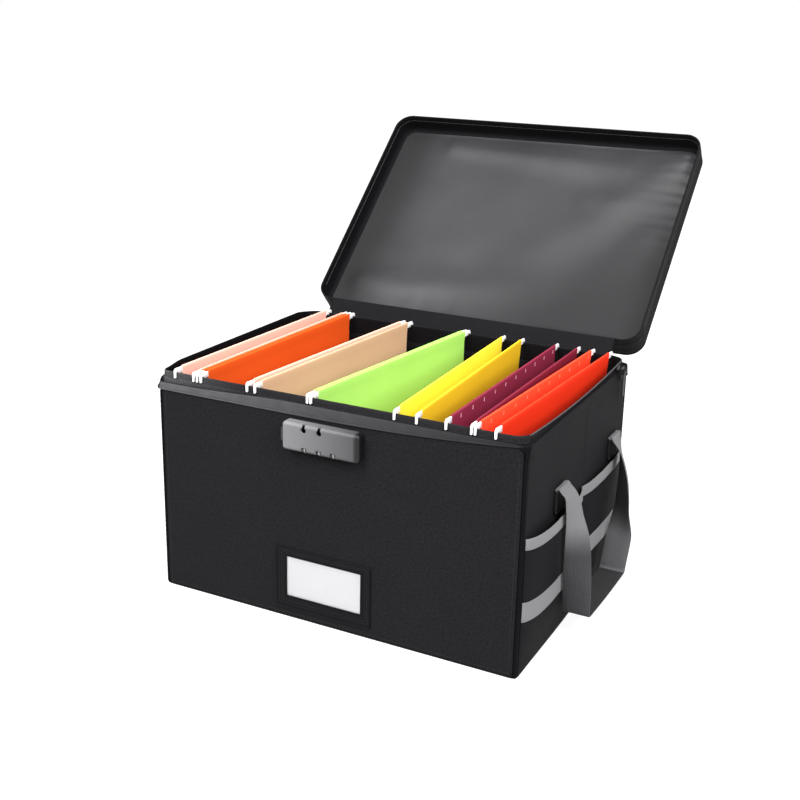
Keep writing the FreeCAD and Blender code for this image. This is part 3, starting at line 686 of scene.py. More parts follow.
def lipPoint(p):  # the lip dips along the right side and stands proud along the left
    lift = 0.0
    if p.x > lipSpec["sides"]:
        lift = -lipSpec["dip"] * (1 - between(abs(p.y), 0, lipSpec["dipHalf"]) ** 2)
    elif p.x < -lipSpec["sides"]:
        run = between(lipSpec["leftHalf"] - abs(p.y), 0.0, lipSpec["leftRun"])
        lift = lipSpec["leftRise"] * smooth(run)
    return Vector((p.x, p.y, p.z + lift * between(p.z, lipSpec["dipFrom"], lipSpec["top"])))


def bandFinish(row, column, middle):
    x, y = middle.x, middle.y
    right, front = bandSpec["cordCorner"]
    sideEdge = row >= bandSpec["edgeRow"] and abs(x) > bandSpec["sideFrom"]
    if row >= len(bandSpec["profile"]) - 1 or (x > right and y < front) or sideEdge:
        return 2
    # front faces take the front band's finish, which carries painted light
    return 1 if y < bandSpec["frontFrom"] and abs(x) < bandSpec["frontHalf"] else 0


def edgeFinish(row, column, middle):
    if row >= lipSpec["outerRows"]:
        return 1
    # along the right side the lip's rounded top edge takes the lighter thread finish as a painted highlight
    if middle.x > lipSpec["sideFrom"] and abs(middle.y) < lipSpec["sideHalf"]:
        return 3 if row >= lipSpec["edgeRow"] else 2
    return 0


def makeRim():
    foot, top = bandSpec["footRadius"], bandSpec["topRadius"]
    rows = []
    for z, offset in bandSpec["profile"]:
        radius = foot + between(z, bandSpec["seam"], bandSpec["top"]) * (top - foot) + min(offset, 0.0)
        loop = roundLoop(bandSpec["half"], max(radius, bandSpec["leastRadius"]) - offset, z, offset)
        rows.append([sidePoint(bandPoint(p)) for p in loop])
    for z in bandSpec["web"]:
        loop = roundLoop(lipSpec["half"], lipSpec["radii"], z, bandSpec["webGap"])
        rows.append([bandPoint(p) for p in loop])
    band = sew("rim_band_cloth", rows, "box", "blackOxford frontBand pipingCord", "band_fabric",
               ("rim_band",), pick=bandFinish, across=True, along=True)
    rows = [[lipPoint(p) for p in roundLoop(lipSpec["half"], lipSpec["radii"], z, offset)]
            for z, offset in lipSpec["profile"]]
    sew("rim_lip", rows, "box", "lipCloth innerCloth blackOxford threadDim", "rim_strip",
        ("folder_rails", "side_rims"), pick=edgeFinish, across=True, along=True)


def zipPath(half, radius, z, end, offset=0.0):  # the part of a rim loop in front of the zip's rear ends
    loop = roundLoop(half, radius, z, offset, (200, 140, 24))
    first = max(n for n, p in enumerate(loop) if p.y > end) + 1
    return [p for p in loop[first:] + loop[:first] if p.y <= end]


# inside of the box

linerSpec = {"half": (213.0, 155.0), "radius": 5.0, "floor": 5.0, "top": 237.0, "thick": 0.7, "fold": 0.5,
             "foldSize": 34.0, "steps": 26, "floorHalf": (212.6, 154.6), "floorCorner": 4.0,
             "floorThick": 0.5, "floorSag": 0.25, "floorSize": 50.0}


def floorRelief(x, y, inside):
    return -linerSpec["floorSag"] * inside * (0.5 + 0.5 * ripple(x, y, linerSpec["floorSize"], seed=8.1))


def makeLiner():
    rows, count, floorZ = [], linerSpec["steps"], linerSpec["floor"]
    for n in range(count + 1):
        z = floorZ + (linerSpec["top"] - floorZ) * n / count
        ring = []
        loose = math.sin(math.pi * n / count)
        for p in reversed(roundLoop(linerSpec["half"], linerSpec["radius"], z)):
            wave = 0.5 + 0.5 * ripple(p.x + p.y, z, linerSpec["foldSize"], seed=5.5)
            inward = linerSpec["fold"] * loose * wave
            pull = 1 - inward / max(abs(p.x), abs(p.y))
            ring.append(Vector((p.x * pull, p.y * pull, z)))
        rows.append(ring)
    walls = sew("inner_lining", rows, "box", "innerCloth", "liner_fabric", ("liner",), linerSpec["thick"],
                across=True)
    rows, flat = tray(linerSpec["floorHalf"], linerSpec["floorCorner"], [(0, 0), (2, 0), (5, 0)], (56, 40),
                      ((1, 0, 0), (0, 1, 0), (0, 0, floorZ)), floorRelief)
    floor = sew("inner_floor", rows, "box", "innerCloth", "liner_fabric", ("liner",),
                linerSpec["floorThick"], flat=flat)


# lid, shaped closed and then swung open about the hinge line

hingeLine = Vector((0, 176, 259)) * mm
openTurn = (Matrix.Translation(hingeLine) @ Matrix.Rotation(math.radians(-137.4), 4, "X")
            @ Matrix.Translation(-hingeLine))
lidSpec = {
    "half": (221.4, 163.4), "radius": 22.0, "top": 286.7, "zipEnd": 138.0, "hingeSide": 146.0,
    "band": [(252.75, -0.1), (256.0, 0.0), (260.0, 0.0), (264.3, 0.0), (264.9, 0.12), (265.8, 0.12),
             (266.4, 0.0), (271.0, 0.0), (277.0, 0.0), (282.6, -0.05), (283.8, -0.3), (284.3, -0.8),
             (283.9, -1.15), (276.0, -1.2), (264.0, -1.2), (252.75, -1.1)],
    "tape": [(264.6, 0.16), (259.0, 0.2), (253.4, 0.2), (252.75, 0.0), (252.6, -0.5), (252.6, -1.4),
             (252.75, -1.8), (253.4, -1.95), (258.0, -1.95), (262.6, -1.95), (262.6, -1.72), (253.5, -1.72),
             (253.5, -0.06), (264.6, -0.06)],
    "pipingRadius": 1.2, "pipingCells": 12, "thick": 0.55, "swell": 0.3, "swellSize": 80.0,
    "crown": [(0.0, -0.9), (0.4, -0.35), (1.2, 0.0), (4.0, 0.3), (12.0, 0.7), (26.0, 1.1), (46.0, 1.35)],
}


def hingeFinish(row, column, middle):  # black along the hinge
    return 1 if middle.y > lidSpec["hingeSide"] else 0


def crownRelief(x, y, inside):
    return lidSpec["swell"] * inside * ripple(x, y, lidSpec["swellSize"], seed=2.2)


def makeLidShell():
    half, radius, top, r = lidSpec["half"], lidSpec["radius"], lidSpec["top"], lidSpec["pipingRadius"]
    rows = [roundLoop(half, radius, z, offset) for z, offset in lidSpec["band"]]
    band = sew("lid_band_cloth", rows, "lid", "blackOxford zipCloth", "cover_fabric", ("lid_side_band",),
               pick=hingeFinish, across=True, along=True)
    rows = [zipPath(half, radius, z, lidSpec["zipEnd"], offset) for z, offset in lidSpec["tape"]]
    sew("lid_zip_tape", rows, "lid", "zipCloth", "band_fabric", ("lid_zipper_tape",), along=True,
        caps="columns")
    count = lidSpec["pipingCells"]
    turns = [swing(360 * k / count) for k in range(count)]
    rows = [roundLoop(half, radius, top - r + r * lift, r * out - r) for out, lift in turns]
    sew("lid_edge_cord", rows, "lid", "pipingCord", "piping_cord", ("lid_piping",), across=True, along=True)
    rows, flat = tray((half[0] - 2 * r, half[1] - 2 * r), radius - 2 * r, lidSpec["crown"], (64, 42),
                      ((1, 0, 0), (0, 1, 0), (0, 0, top)), crownRelief)
    cover = sew("lid_top_panel", rows, "lid", "blackOxford", "cover_fabric", ("lid_top_cover",),
                lidSpec["thick"], flat=flat)


liningSpec = {
    "half": (219.6, 161.6), "corner": 20.2, "ceiling": 281.9, "thick": 0.5, "wallSteps": 9,
    "steps": [(0.0, 28.2), (0.2, 27.4), (0.3, 22.0), (0.4, 16.0), (0.5, 10.5), (0.6, 8.0), (1.0, 6.2),
              (1.9, 4.2), (3.4, 2.5), (5.6, 1.3), (8.6, 0.6), (12.4, 0.2), (17.0, 0.0), (23.0, 0.0),
              (30.0, 0.0)],
    "cells": (110, 76), "settle": 14.0, "settlePucker": 4.0, "soft": (0.7, 52.0, 9.4),
    "puckered": (-30.0, 20.0),
    # puckers along two walls: height, reach, wave, and how far, how often and from what seed the wave strays
    "rightPucker": (1.3, 20.0, 2.9, 2.0, 26.0, 1.0), "lowPucker": (0.5, 22.0, 6.0, 2.2, 40.0, 6.0),
    # soft folds: start, end, half width and height, with y growing towards the lid's free edge
    "folds": [((205, 140), (60, -30), 30, 8.0), ((-130, 132), (120, 118), 15, 5.0),
              ((-180, -112), (60, -92), 19, 5.5), ((186, 10), (110, -130), 24, 5.0),
              ((-110, 60), (40, 20), 38, 3.0), ((90, 60), (190, 60), 16, 2.5)],
}


def foldHeight(x, y, start, end, wide):
    start, end, spot = Vector(start), Vector(end), Vector((x, y))
    run = end - start
    share = between((spot - start).dot(run), 0.0, run.length_squared)
    gap = (spot - start - run * share).length
    return math.exp(-(gap / (wide * (1 + 0.5 * share))) ** 2) * (1 - 0.35 * share)


def pucker(x, y, gap, along, wall):
    height, reach, wave, stray, size, seed = liningSpec[wall]
    turn = along / wave + stray * ripple(x, y, size, seed)
    return height * math.exp(-max(0.0, gap) / reach) * (1 + math.sin(turn))


def liningRelief(x, y, inside):
    inset = inside * liningSpec["steps"][-1][0]
    settled, puckered = [min(1.0, inset / liningSpec[key]) for key in ("settle", "settlePucker")]
    folds = sum(height * foldHeight(x, y, *fold) for *fold, height in liningSpec["folds"])
    height, size, seed = liningSpec["soft"]
    soft = height * (1 + ripple(x + 0.6 * y, y - 0.6 * x, size, seed))
    halfX, halfY = liningSpec["half"]
    right = pucker(x, y, halfX - x, y, "rightPucker") * between(y, *liningSpec["puckered"])
    return settled * (folds + soft) + puckered * (right + pucker(x, y, halfY + y, x, "lowPucker"))


def makeLidLining():
    rows, flat = tray(liningSpec["half"], liningSpec["corner"], liningSpec["steps"], liningSpec["cells"],
                      ((1, 0, 0), (0, -1, 0), (0, 0, liningSpec["ceiling"])), liningRelief)
    wide, high = len(rows[0]), len(rows)

    def wallFinish(row, column, middle):  # the upright walls are faced with black cloth, which also serves as painted shade on the walls
        return 1 if min(column, wide - 2 - column, row, high - 2 - row) < liningSpec["wallSteps"] else 0

    sheet = sew("lid_lining_sheet", rows, "lid", "lidLiningFilm zipCloth", "lining_sheet", ("lid_lining",),
                liningSpec["thick"], pick=wallFinish, flat=flat)


hingeSpec = {"reach": 194.0, "thick": 0.9, "cells": 120, "wave": (0.25, 5.0), "ripple": (0.7, 22.0),
             "path": [(162.0, 242.6), (162.1, 246.0), (162.4, 248.8), (164.8, 252.6), (168.8, 257.4),
                      (173.2, 262.8), (177.6, 268.0), (180.9, 272.0), (182.0, 270.3), (184.2, 267.6),
                      (186.4, 265.2)],
             "loose": (0, 0, 0.3, 0.8, 1.0, 1.0, 0.6, 0.1, 0, 0, 0)}


def makeHingeStrip():
    rows, cells = [], hingeSpec["cells"]
    (wave, waveRun), (loose, looseSize) = hingeSpec["wave"], hingeSpec["ripple"]
    for (y, z), slack in zip(hingeSpec["path"], hingeSpec["loose"]):
        row = []
        for n in range(cells, -1, -1):
            x = hingeSpec["reach"] * (2 * n / cells - 1)
            sag = slack * (0.5 + loose * ripple(x, y, looseSize, seed=3.3) + wave * math.sin(x / waveRun))
            row.append(Vector((x, y + 0.5 * sag, z - sag)))
        rows.append(row)
    strip = sew("hinge_cloth", rows, None, "zipCloth", "cover_fabric", ("hinge_strip",), hingeSpec["thick"])
    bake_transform(strip)


# side pockets and their grey bands

pocketSpec = {
    "front": (-155.6, 13.0, 9.5), "rear": (15.0, 155.6, 6.5),  # near edge, far edge, bulge
    "bottom": 4.0, "top": 148.0, "run": 62.0, "foot": 2.4, "breakAt": 61.6, "breakShare": 0.92,
    "thick": 1.0, "wrinkle": 0.5, "lift": 6.0, "liftRun": 72.0, "liftFrom": 57.0, "bandThick": 0.25,
    "rows": 30, "measured": 16, "bendCells": 9, "flatCells": 26, "least": 0.12, "hemDrop": 0.4,
    "bands": {  # height, and how far out from the pocket's face
        "hem": [(136.0, 0.15), (136.3, 0.55), (140.0, 0.55), (144.0, 0.55), (147.2, 0.55), (147.9, 0.3),
                (148.0, -0.4), (147.9, -1.0), (147.2, -1.35), (144.0, -1.35)],
        "low": [(57.0, 0.15), (57.3, 0.55), (62.0, 0.55), (68.0, 0.55), (74.0, 0.55), (78.7, 0.55),
                (79.0, 0.15)],
    },
}


def pocketDepth(kind, y, z):
    near, far, bulge = pocketSpec[kind]
    foot, bottom, top, run = [pocketSpec[key] for key in ("foot", "bottom", "top", "run")]
    breakAt, breakShare, wrinkle = [pocketSpec[key] for key in ("breakAt", "breakShare", "wrinkle")]
    if z < breakAt:
        full = foot + (bulge * breakShare - foot) * ((z - bottom) / (breakAt - bottom)) ** 0.9
    else:
        full = bulge * (breakShare + (1 - breakShare) * (z - breakAt) / (top - breakAt))
    edge = between(min(y - near, far - y), 0.0, run)
    turn = math.sqrt(1 - (1 - edge) ** 2)
    loose = wrinkle * turn * min(1.0, bulge / 10) * ripple(y * 1.4, z * 0.8, 30.0, near)
    return max(pocketSpec["least"], full * turn + loose - 0.3 * wrinkle)


def pocketColumns(kind):
    near, far, _ = pocketSpec[kind]
    run = pocketSpec["run"]
    turn, count = pocketSpec["bendCells"], pocketSpec["flatCells"]
    bend = [near + run * (1 - swing(90 * n / turn)[0]) for n in range(turn + 1)]
    flat = [near + run + (far - near - 2 * run) * n / count for n in range(1, count)]
    return bend + flat + [far + near - y for y in reversed(bend)]


def pocketPoint(side, kind, y, z, out):  # the front pocket is drawn up towards its front seam
    pulled = max(0.0, 1 - (y - pocketSpec[kind][0]) / pocketSpec["liftRun"])
    lift = pocketSpec["lift"] * pulled ** 2 if kind == "front" else 0.0
    depth = pocketDepth(kind, y, min(z, pocketSpec["top"]))
    x = boxHalf[0] + max(0.1, depth + out)
    return Vector((side * x, y, z + lift * min(1.0, z / pocketSpec["liftFrom"])))


def pocketRows(side, kind, levels):
    rows = []
    for z, out in levels:
        row = [pocketPoint(side, kind, y, z, out) for y in pocketColumns(kind)]
        rows.append(row if side > 0 else row[::-1])
    return rows


def makePockets():
    bottom, top, count = pocketSpec["bottom"], pocketSpec["top"], pocketSpec["rows"]
    high = top - pocketSpec["hemDrop"]
    levels = [(bottom + (high - bottom) * n / count, 0.0) for n in range(count + 1)]
    for label, side in sides:
        for kind in ("front", "rear"):
            start = label + "_" + kind + "_"
            rows = pocketRows(side, kind, levels)
            pocket = sew(start + "pocket", rows, "box", "pocketCloth", "cover_fabric",
                         (label + "_pockets",), pocketSpec["thick"])
            wide = runs(rows[pocketSpec["measured"]], False)[-1]
            for band, profile in pocketSpec["bands"].items():
                sew(start + band + "_band", pocketRows(side, kind, profile), "box", "greyTape", "grey_tape",
                    ("pocket_bands",), pocketSpec["bandThick"])


# carrying handles

strapSpec = {
    "pivot": (222.4, 176.0), "wide": 30.0, "thick": 2.0, "edge": 0.8, "bend": 4.5, "roll": 1.0,
    "rolled": 250.0, "steps": 48, "turnSteps": 6, "levelSteps": 16, "sag": 1.2,
    # along the fall of a leg: share of the fall, of its reach outwards and of a quarter turn
    "front": {"y": -61.0, "reach": 22.5, "bottom": 34.0, "lean": 0.0,
              "shares": ((0.0, 0.0, 0.0), (0.04, 0.3, 0.0), (0.11, 0.48, 0.1), (0.25, 0.64, 0.2),
                         (0.39, 0.8, 0.4), (0.53, 0.88, 0.55), (0.66, 0.92, 0.66), (0.8, 0.96, 0.86),
                         (1.0, 1.0, 1.0))},
    "rear": {"y": 116.0, "reach": 19.5, "bottom": 24.0, "lean": 34.0,
             "shares": ((0.0, 0.0, 0.0), (0.08, 0.38, 0.18), (0.26, 0.78, 0.36), (0.43, 0.94, 0.48),
                        (0.55, 1.0, 0.55), (0.65, 1.04, 0.72), (0.76, 1.06, 0.95), (1.0, 0.95, 1.0))},
}
legSpots = [(kind, strapSpec[kind]["y"]) for kind in ("front", "rear")]


def eased(places, values, at):  # smooth run through a short table
    for n in range(len(places) - 1):
        if at <= places[n + 1]:
            break

    def slope(k):
        a, b = max(0, k - 1), min(len(places) - 1, k + 1)
        return (values[b] - values[a]) / (places[b] - places[a])

    h = places[n + 1] - places[n]
    t = (at - places[n]) / h
    return ((2 * t ** 3 - 3 * t ** 2 + 1) * values[n] + (t ** 3 - 2 * t ** 2 + t) * h * slope(n)
            + (3 * t ** 2 - 2 * t ** 3) * values[n + 1] + (t ** 3 - t ** 2) * h * slope(n + 1))


def strapLeg(kind, turn):  # places along the strap, each with its directions across and out
    leg, roll, bend = strapSpec[kind], strapSpec["roll"], strapSpec["bend"]
    steps, turnSteps = strapSpec["steps"], strapSpec["turnSteps"]
    pivotX, pivotZ = strapSpec["pivot"]
    fall = pivotZ - leg["bottom"] - bend
    drops, reaches, twists = zip(*leg["shares"])
    found = []
    for n in range(turnSteps + 1):  # the end rolled round its pin
        x, z = swing(strapSpec["rolled"] * (1 - n / turnSteps))
        out = Vector((x, 0, z))
        found.append((Vector((pivotX, leg["y"], pivotZ)) + out * roll, Vector((0, -turn, 0)), out))
    for n in range(1, steps + 1):
        t = n / steps
        flat, edgeOn = swing(90 * eased(drops, twists, t))
        x = pivotX + max(roll, leg["reach"] * eased(drops, reaches, t))
        across, out = Vector((edgeOn, -turn * flat, 0)), Vector((flat, turn * edgeOn, 0))
        found.append((Vector((x, leg["y"] - turn * leg["lean"] * t, pivotZ - fall * t)), across, out))
    middle = found[-1][0] + Vector((0, -turn * bend, 0))
    for n in range(1, turnSteps + 1):
        y, z = swing(90 * n / turnSteps)
        out = Vector((0, turn * y, -z))
        found.append((middle + out * bend, Vector((1, 0, 0)), out))
    return found


def makeHandles():
    front, rear = strapLeg("front", -1), strapLeg("rear", 1)
    level = []
    for n in range(1, strapSpec["levelSteps"]):
        t = n / strapSpec["levelSteps"]
        sag = strapSpec["sag"] * math.sin(math.pi * t)
        centre = front[-1][0].lerp(rear[-1][0], t) - Vector((0, 0, sag))
        level.append((centre, Vector((1, 0, 0)), Vector((0, 0, -1))))
    loop = front + level + rear[::-1]
    halfWide, halfThick = strapSpec["wide"] / 2, strapSpec["thick"] / 2
    face = [((halfWide - strapSpec["edge"]) * share, 1.0) for share in (1, 0.5, 0, -0.5, -1)]
    edge = [(-halfWide, 0.45), (-halfWide, -0.45)]
    section = face + edge + [(-w, -t) for w, t in face] + [(-w, -t) for w, t in edge]
    for label, side in sides:
        rows = []
        for centre, across, out in loop:
            ring = [centre + across * w + out * (halfThick * t) for w, t in section]
            rows.append([Vector((side * p.x, p.y, p.z)) for p in ring][::-side])
        inner = range(1, 8) if side > 0 else range(6, 13)

        # inner face: darker finishes as painted shade, darkest along the bottom run
        def strapFinish(row, column, middle):
            if column not in inner:
                return 0
            return 2 if len(front) - 1 <= row < len(front) + len(level) else 1

        sew(label + "_strap", rows, label + "_handle", "greyWebbing webbingBack webbingRun", "webbing",
            (label + "_handle",), pick=strapFinish, across=True, caps="rows")


patchSpec = {"half": (16.5, 14.5), "corner": 6.0, "middle": 162.0, "thick": 0.8,
             "steps": [(0.0, 0.05), (0.0, 1.2), (0.25, 1.9), (0.9, 2.35), (2.0, 2.5), (3.2, 2.35),
                       (4.2, 1.7), (5.4, 1.5)],
             # sewn fold that holds the strap's rolled end
             "keeper": {"radius": 2.5, "start": 204.0, "turn": 76.0, "flare": 1.5, "raise": 2.4,
                        "thick": 0.7, "steps": 12, "across": (15.6, 14.8, 8, 0, -8, -14.8, -15.6)}}


def makePatches():
    keeper, (pivotX, pivotZ) = patchSpec["keeper"], strapSpec["pivot"]
    for label, side in sides:
        for spot, y in legSpots:
            axes = ((0, side, 0), (0, 0, 1), (side * boxHalf[0], y, patchSpec["middle"]))
            rows, flat = tray(patchSpec["half"], patchSpec["corner"], patchSpec["steps"], (12, 14), axes)
            start = label + "_" + spot
            sew(start + "_patch", rows, "box", "pocketCloth", "handle_patch", ("handle_patches",),
                patchSpec["thick"], flat=flat)
            rows = []
            for n in range(keeper["steps"] + 1):
                out, up = swing(keeper["start"] - keeper["turn"] * n / keeper["steps"])
                x = pivotX + keeper["radius"] * out * (1.0 if n else keeper["flare"])
                z = pivotZ + keeper["radius"] * up + (0.0 if n else keeper["raise"])
                rows.append([Vector((side * x, y + side * w, z)) for w in keeper["across"]])
            sew(start + "_keeper", rows, "box", "greyWebbing", "webbing", (), keeper["thick"])


# label holder

labelSpec = {
    "outer": (-68.0, 51.0, 11.0, 84.0), "inner": (-52.5, 38.5, 27.0, 73.5), "corner": 2.0,
    "cells": (20, 20, 6), "tighten": 0.6,
    "profile": [(0.0, 0.0), (0.0, 0.9), (0.05, 1.5), (0.12, 1.75), (0.2, 1.5), (0.26, 1.25), (0.5, 1.2),
                (0.66, 1.25), (0.74, 1.5), (0.82, 1.75), (0.9, 1.6), (1.0, 1.0), (1.0, 0.84), (0.84, 0.82),
                (0.82, 0.0)],
}


def labelLoop(share, corner, out):  # between the outer and the inner edge
    left, right, low, high = [a + (b - a) * share for a, b in zip(labelSpec["outer"], labelSpec["inner"])]
    middle = Vector(((left + right) / 2, -boxHalf[1] - out, (low + high) / 2))
    loop = roundLoop(((right - left) / 2, (high - low) / 2), corner, 0, cells=labelSpec["cells"])
    return [middle + Vector((p.x, 0, p.y)) for p in loop]


def makeLabel():
    rows = []
    for share, out in labelSpec["profile"]:
        rows.append(labelLoop(share, labelSpec["corner"] * (1 - labelSpec["tighten"] * share), out))
    sew("label_holder", rows, "box", "blackPvc", "label_pvc", ("label_frame",), sharp=50, across=True,
        along=True)


# hanging folders

folderSpec = {
    # left leaf, right leaf and skew as shares of half the rail and of the box depth
    "shares": {"pale": (-0.959, -0.835, 0.031), "orange": (-0.809, -0.784, 0.034),
               "tan": (-0.446, -0.396, 0.081), "green": (-0.043, -0.022, 0.116),
               "yellow": (0.342, 0.467, -0.038), "maroon": (0.659, 0.796, 0.0),
               "red": (0.851, 0.960, 0.044)},
    "railHalf": 198.8, "depth": 320.0, "half": 147.0, "hemTop": 264.5, "hemLow": 250.0, "bottom": 28.5,
    "fold": 1.8, "leaf": 0.4, "hem": 1.3, "bow": 0.1, "steps": 28, "leafSteps": 16,
    "wave": 0.22, "waveRun": (47.0, 30.0), "waveArea": 14000.0,
    # round the rod: share of the hem, height
    "rise": [(0.55, 3.5), (0.78, 7.0), (0.9, 10.0), (1.0, 12.4), (0.9, 13.7), (0.5, 14.35)],
    "slotted": ("maroon", "red"), "slotDrop": 6.6, "slotLean": 0.84, "slotRun": (-126, 139, 6),
    "slots": {"tree": plateTree, "pitch": 29.0, "size": (0.1, 2.2, 1.2), "up": (1.0, 0.0, 0.0),
              "uneven": 0.05, "seed": 4},
}
folderPlaces = {}
for colour, (left, right, skew) in folderSpec["shares"].items():
    rail = folderSpec["railHalf"]
    folderPlaces[colour] = (left * rail, right * rail, skew * folderSpec["depth"])


def cardOutline(left, right):  # clockwise seen from the front, with a flag for the inside of the fold
    middle = (left + right) / 2
    fold, leaf, hem = folderSpec["fold"], folderSpec["leaf"], folderSpec["hem"]
    low, hemLow, hemTop = folderSpec["bottom"], folderSpec["hemLow"], folderSpec["hemTop"]
    footLeft, footRight = middle - fold + leaf, middle + fold - leaf
    count = folderSpec["leafSteps"]
    shares = [n / count for n in range(count + 1)]
    points = []

    def leafSide(top, foot, inward, offset, order, inside):
        bow = inward * folderSpec["bow"] * abs(top - foot)
        for share in order:
            x = foot + (top - foot) * share + bow * math.sin(math.pi * share) + offset
            points.append((x, low + leaf + (hemLow - low - leaf) * share, inside))

    def hemOver(top, insideFirst):
        rise = folderSpec["rise"]
        shape = [(-hem * wide, hemLow + up) for wide, up in rise] + [(0, hemTop)]
        shape += [(hem * wide, hemLow + up) for wide, up in reversed(rise)]
        for n, (x, z) in enumerate(shape):
            points.append((top + x, z, (n < len(rise)) == insideFirst))

    leafSide(left, footLeft, 1, -leaf, shares, False)
    hemOver(left, False)
    leafSide(left, footLeft, 1, leaf, reversed(shares[1:]), True)
    points.append((footLeft + leaf, low + 2 * leaf, True))
    points.append((footRight - leaf, low + 2 * leaf, True))
    leafSide(right, footRight, -1, -leaf, shares[1:], True)
    hemOver(right, True)
    leafSide(right, footRight, -1, leaf, reversed(shares), False)
    points.append((footRight, low, False))
    points.append((footLeft, low, False))
    return points


def makeFolders():
    depth, low, high = folderSpec["depth"], folderSpec["bottom"], folderSpec["hemTop"]
    runY, runX = folderSpec["waveRun"]
    for colour, (left, right, skew) in folderPlaces.items():
        outline = cardOutline(left, right)
        rows = []
        for n in range(folderSpec["steps"] + 1):
            y = folderSpec["half"] * (2 * n / folderSpec["steps"] - 1)
            row = []
            for x, z, _ in outline:
                swell = (z - low) * (high - z) / folderSpec["waveArea"]
                wave = folderSpec["wave"] * math.sin(y / runY + x / runX) * swell
                row.append(Vector((x + skew * y / depth + wave, y, z)))
            rows.append(row)

        def leafFinish(row, column, middle):
            return 0 if outline[column][2] else 1

        body = "folder_" + colour
        sew(colour + "_folder", rows, body, colour + "CardInside " + colour + "CardOutside",
            "card_" + colour, (body + "_card",), pick=leafFinish, across=True, caps="rows")
        if colour in folderSpec["slotted"]:
            makeSlots(colour, left, skew)
        makeHooks(colour, left, right, skew)


def makeSlots(colour, left, skew):  # a row of tab slots in the first leaf's hem
    z = folderSpec["hemTop"] - folderSpec["slotDrop"]
    paths = []
    for face in (-1, 1):
        x = left + face * (folderSpec["hem"] * folderSpec["slotLean"] + 0.02)
        spots = range(*folderSpec["slotRun"])
        paths.append([Vector((x + skew * y / folderSpec["depth"], y, z)) for y in spots])
    rowPiece(colour + "_tab_slots", paths, folderSpec["slots"], "folder_" + colour, "card_white",
             colour + "Slot")


hookSpec = {  # white end of each rod, from the card over the lip: distance from the middle, height
    "outline": [(148.5, 257.4), (155.2, 257.4), (155.4, 259.25), (158.05, 259.25), (158.05, 252.95),
                (160.25, 252.95), (160.25, 261.3), (158.4, 263.2), (148.5, 263.2)],
    "wide": 2.4, "round": 0.35,
}


def insetLoop(points, inset):
    moved = []
    for n, here in enumerate(points):
        into = (Vector(here) - Vector(points[n - 1])).normalized()
        away = (Vector(points[(n + 1) % len(points)]) - Vector(here)).normalized()
        first, second = Vector((-into.y, into.x)), Vector((-away.y, away.x))
        moved.append(Vector(here) + (first + second) * (inset / (1 + first.dot(second))))
    return moved


def makeHooks(colour, left, right, skew):
    outline = hookSpec["outline"]
    small = insetLoop(outline, hookSpec["round"])
    half = hookSpec["wide"] / 2
    edge = half - hookSpec["round"]
    for label, x in (("left", left), ("right", right)):
        for end, sign in (("front", -1), ("rear", 1)):
            lean = sign * skew / folderSpec["depth"]
            rows = []
            for out, loop in ((-half, small), (-edge, outline), (edge, outline), (half, small)):
                rows.append([Vector((x + sign * out + lean * y, sign * y, z)) for y, z in loop])
            sew("_".join((colour, label, end, "hook")), rows, "folder_" + colour, "hookWhite", "rod_white",
                sharp=50, across=True, caps="rows")


# sewing and zip teeth

sewingSpec = {
    "thread": {"tree": stitchTree, "pitch": 3.2, "size": (0.16, 0.26, 1.15), "up": (0.0, 0.0, 1.0),
               "uneven": 0.08, "seed": 7},
    "wall": {"x": 209.6, "y": 160.02, "low": 6.0, "high": 236.0, "footHalf": 209.0, "foot": 5.0},
    "rim": {"half": 206.0, "stop": 150.0, "y": 161.32, "z": 240.6},
    "label": {"shares": (0.36, 0.56), "corner": 1.5, "out": 1.22},
    "patch": {"half": (14.4, 12.4), "corner": 4.0, "x": 220.42},
    "tape": {"heights": (137.4, 146.4, 58.4, 77.6), "out": 0.57, "ends": 3},
}
upX, upY = (1.0, 0.0, 0.0), (0.0, 1.0, 0.0)


def makeSewing():
    fine, wall, rim, label, patch, tape = sewingSpec.values()
    x, y = wall["x"], -wall["y"]
    front = [straightPath((sx * x, y, wall["low"]), (sx * x, y, wall["high"])) for sx in (-1, 1)]
    front.append(straightPath((-wall["footHalf"], y, wall["foot"]), (wall["footHalf"], y, wall["foot"])))
    back = [[Vector((p.x, -p.y, p.z)) for p in path] for path in front]
    rowPiece("wall_stitches", front + back, fine, "box", "cover_fabric", "threadBlack", up=upY)
    half, y, z = rim["half"], rim["y"], rim["z"]
    hem = [[bandPoint(p) for p in straightPath((-half, -y, z), (rim["stop"], -y, z))],
           straightPath((half, y, z), (-half, y, z))]
    rowPiece("rim_stitches", hem, fine, "box", "band_fabric", "threadBlack")
    lines = [closed(labelLoop(share, label["corner"], label["out"])) for share in label["shares"]]
    rowPiece("label_stitches", lines, fine, "box", "label_pvc", "threadBlack", pitch=2.8,
             size=(0.14, 0.22, 1.0), up=upY)
    ring = closed(roundLoop(patch["half"], patch["corner"], patchSpec["middle"], cells=(8, 10, 4)))
    for name, side in sides:
        rings = [[Vector((side * patch["x"], y + p.x, p.z + p.y)) for p in ring] for _, y in legSpots]
        rowPiece(name + "_patch_stitches", rings, fine, "box", "handle_patch", "threadDim",
                 size=(0.2, 0.5, 1.3), up=upX)
        edges = []
        for kind in ("front", "rear"):
            columns = pocketColumns(kind)[tape["ends"]:-tape["ends"]]
            for z in tape["heights"]:
                edges.append([pocketPoint(side, kind, y, z, tape["out"]) for y in columns])
        rowPiece(name + "_band_stitches", edges, fine, "box", "grey_tape", "threadGrey", up=upX)


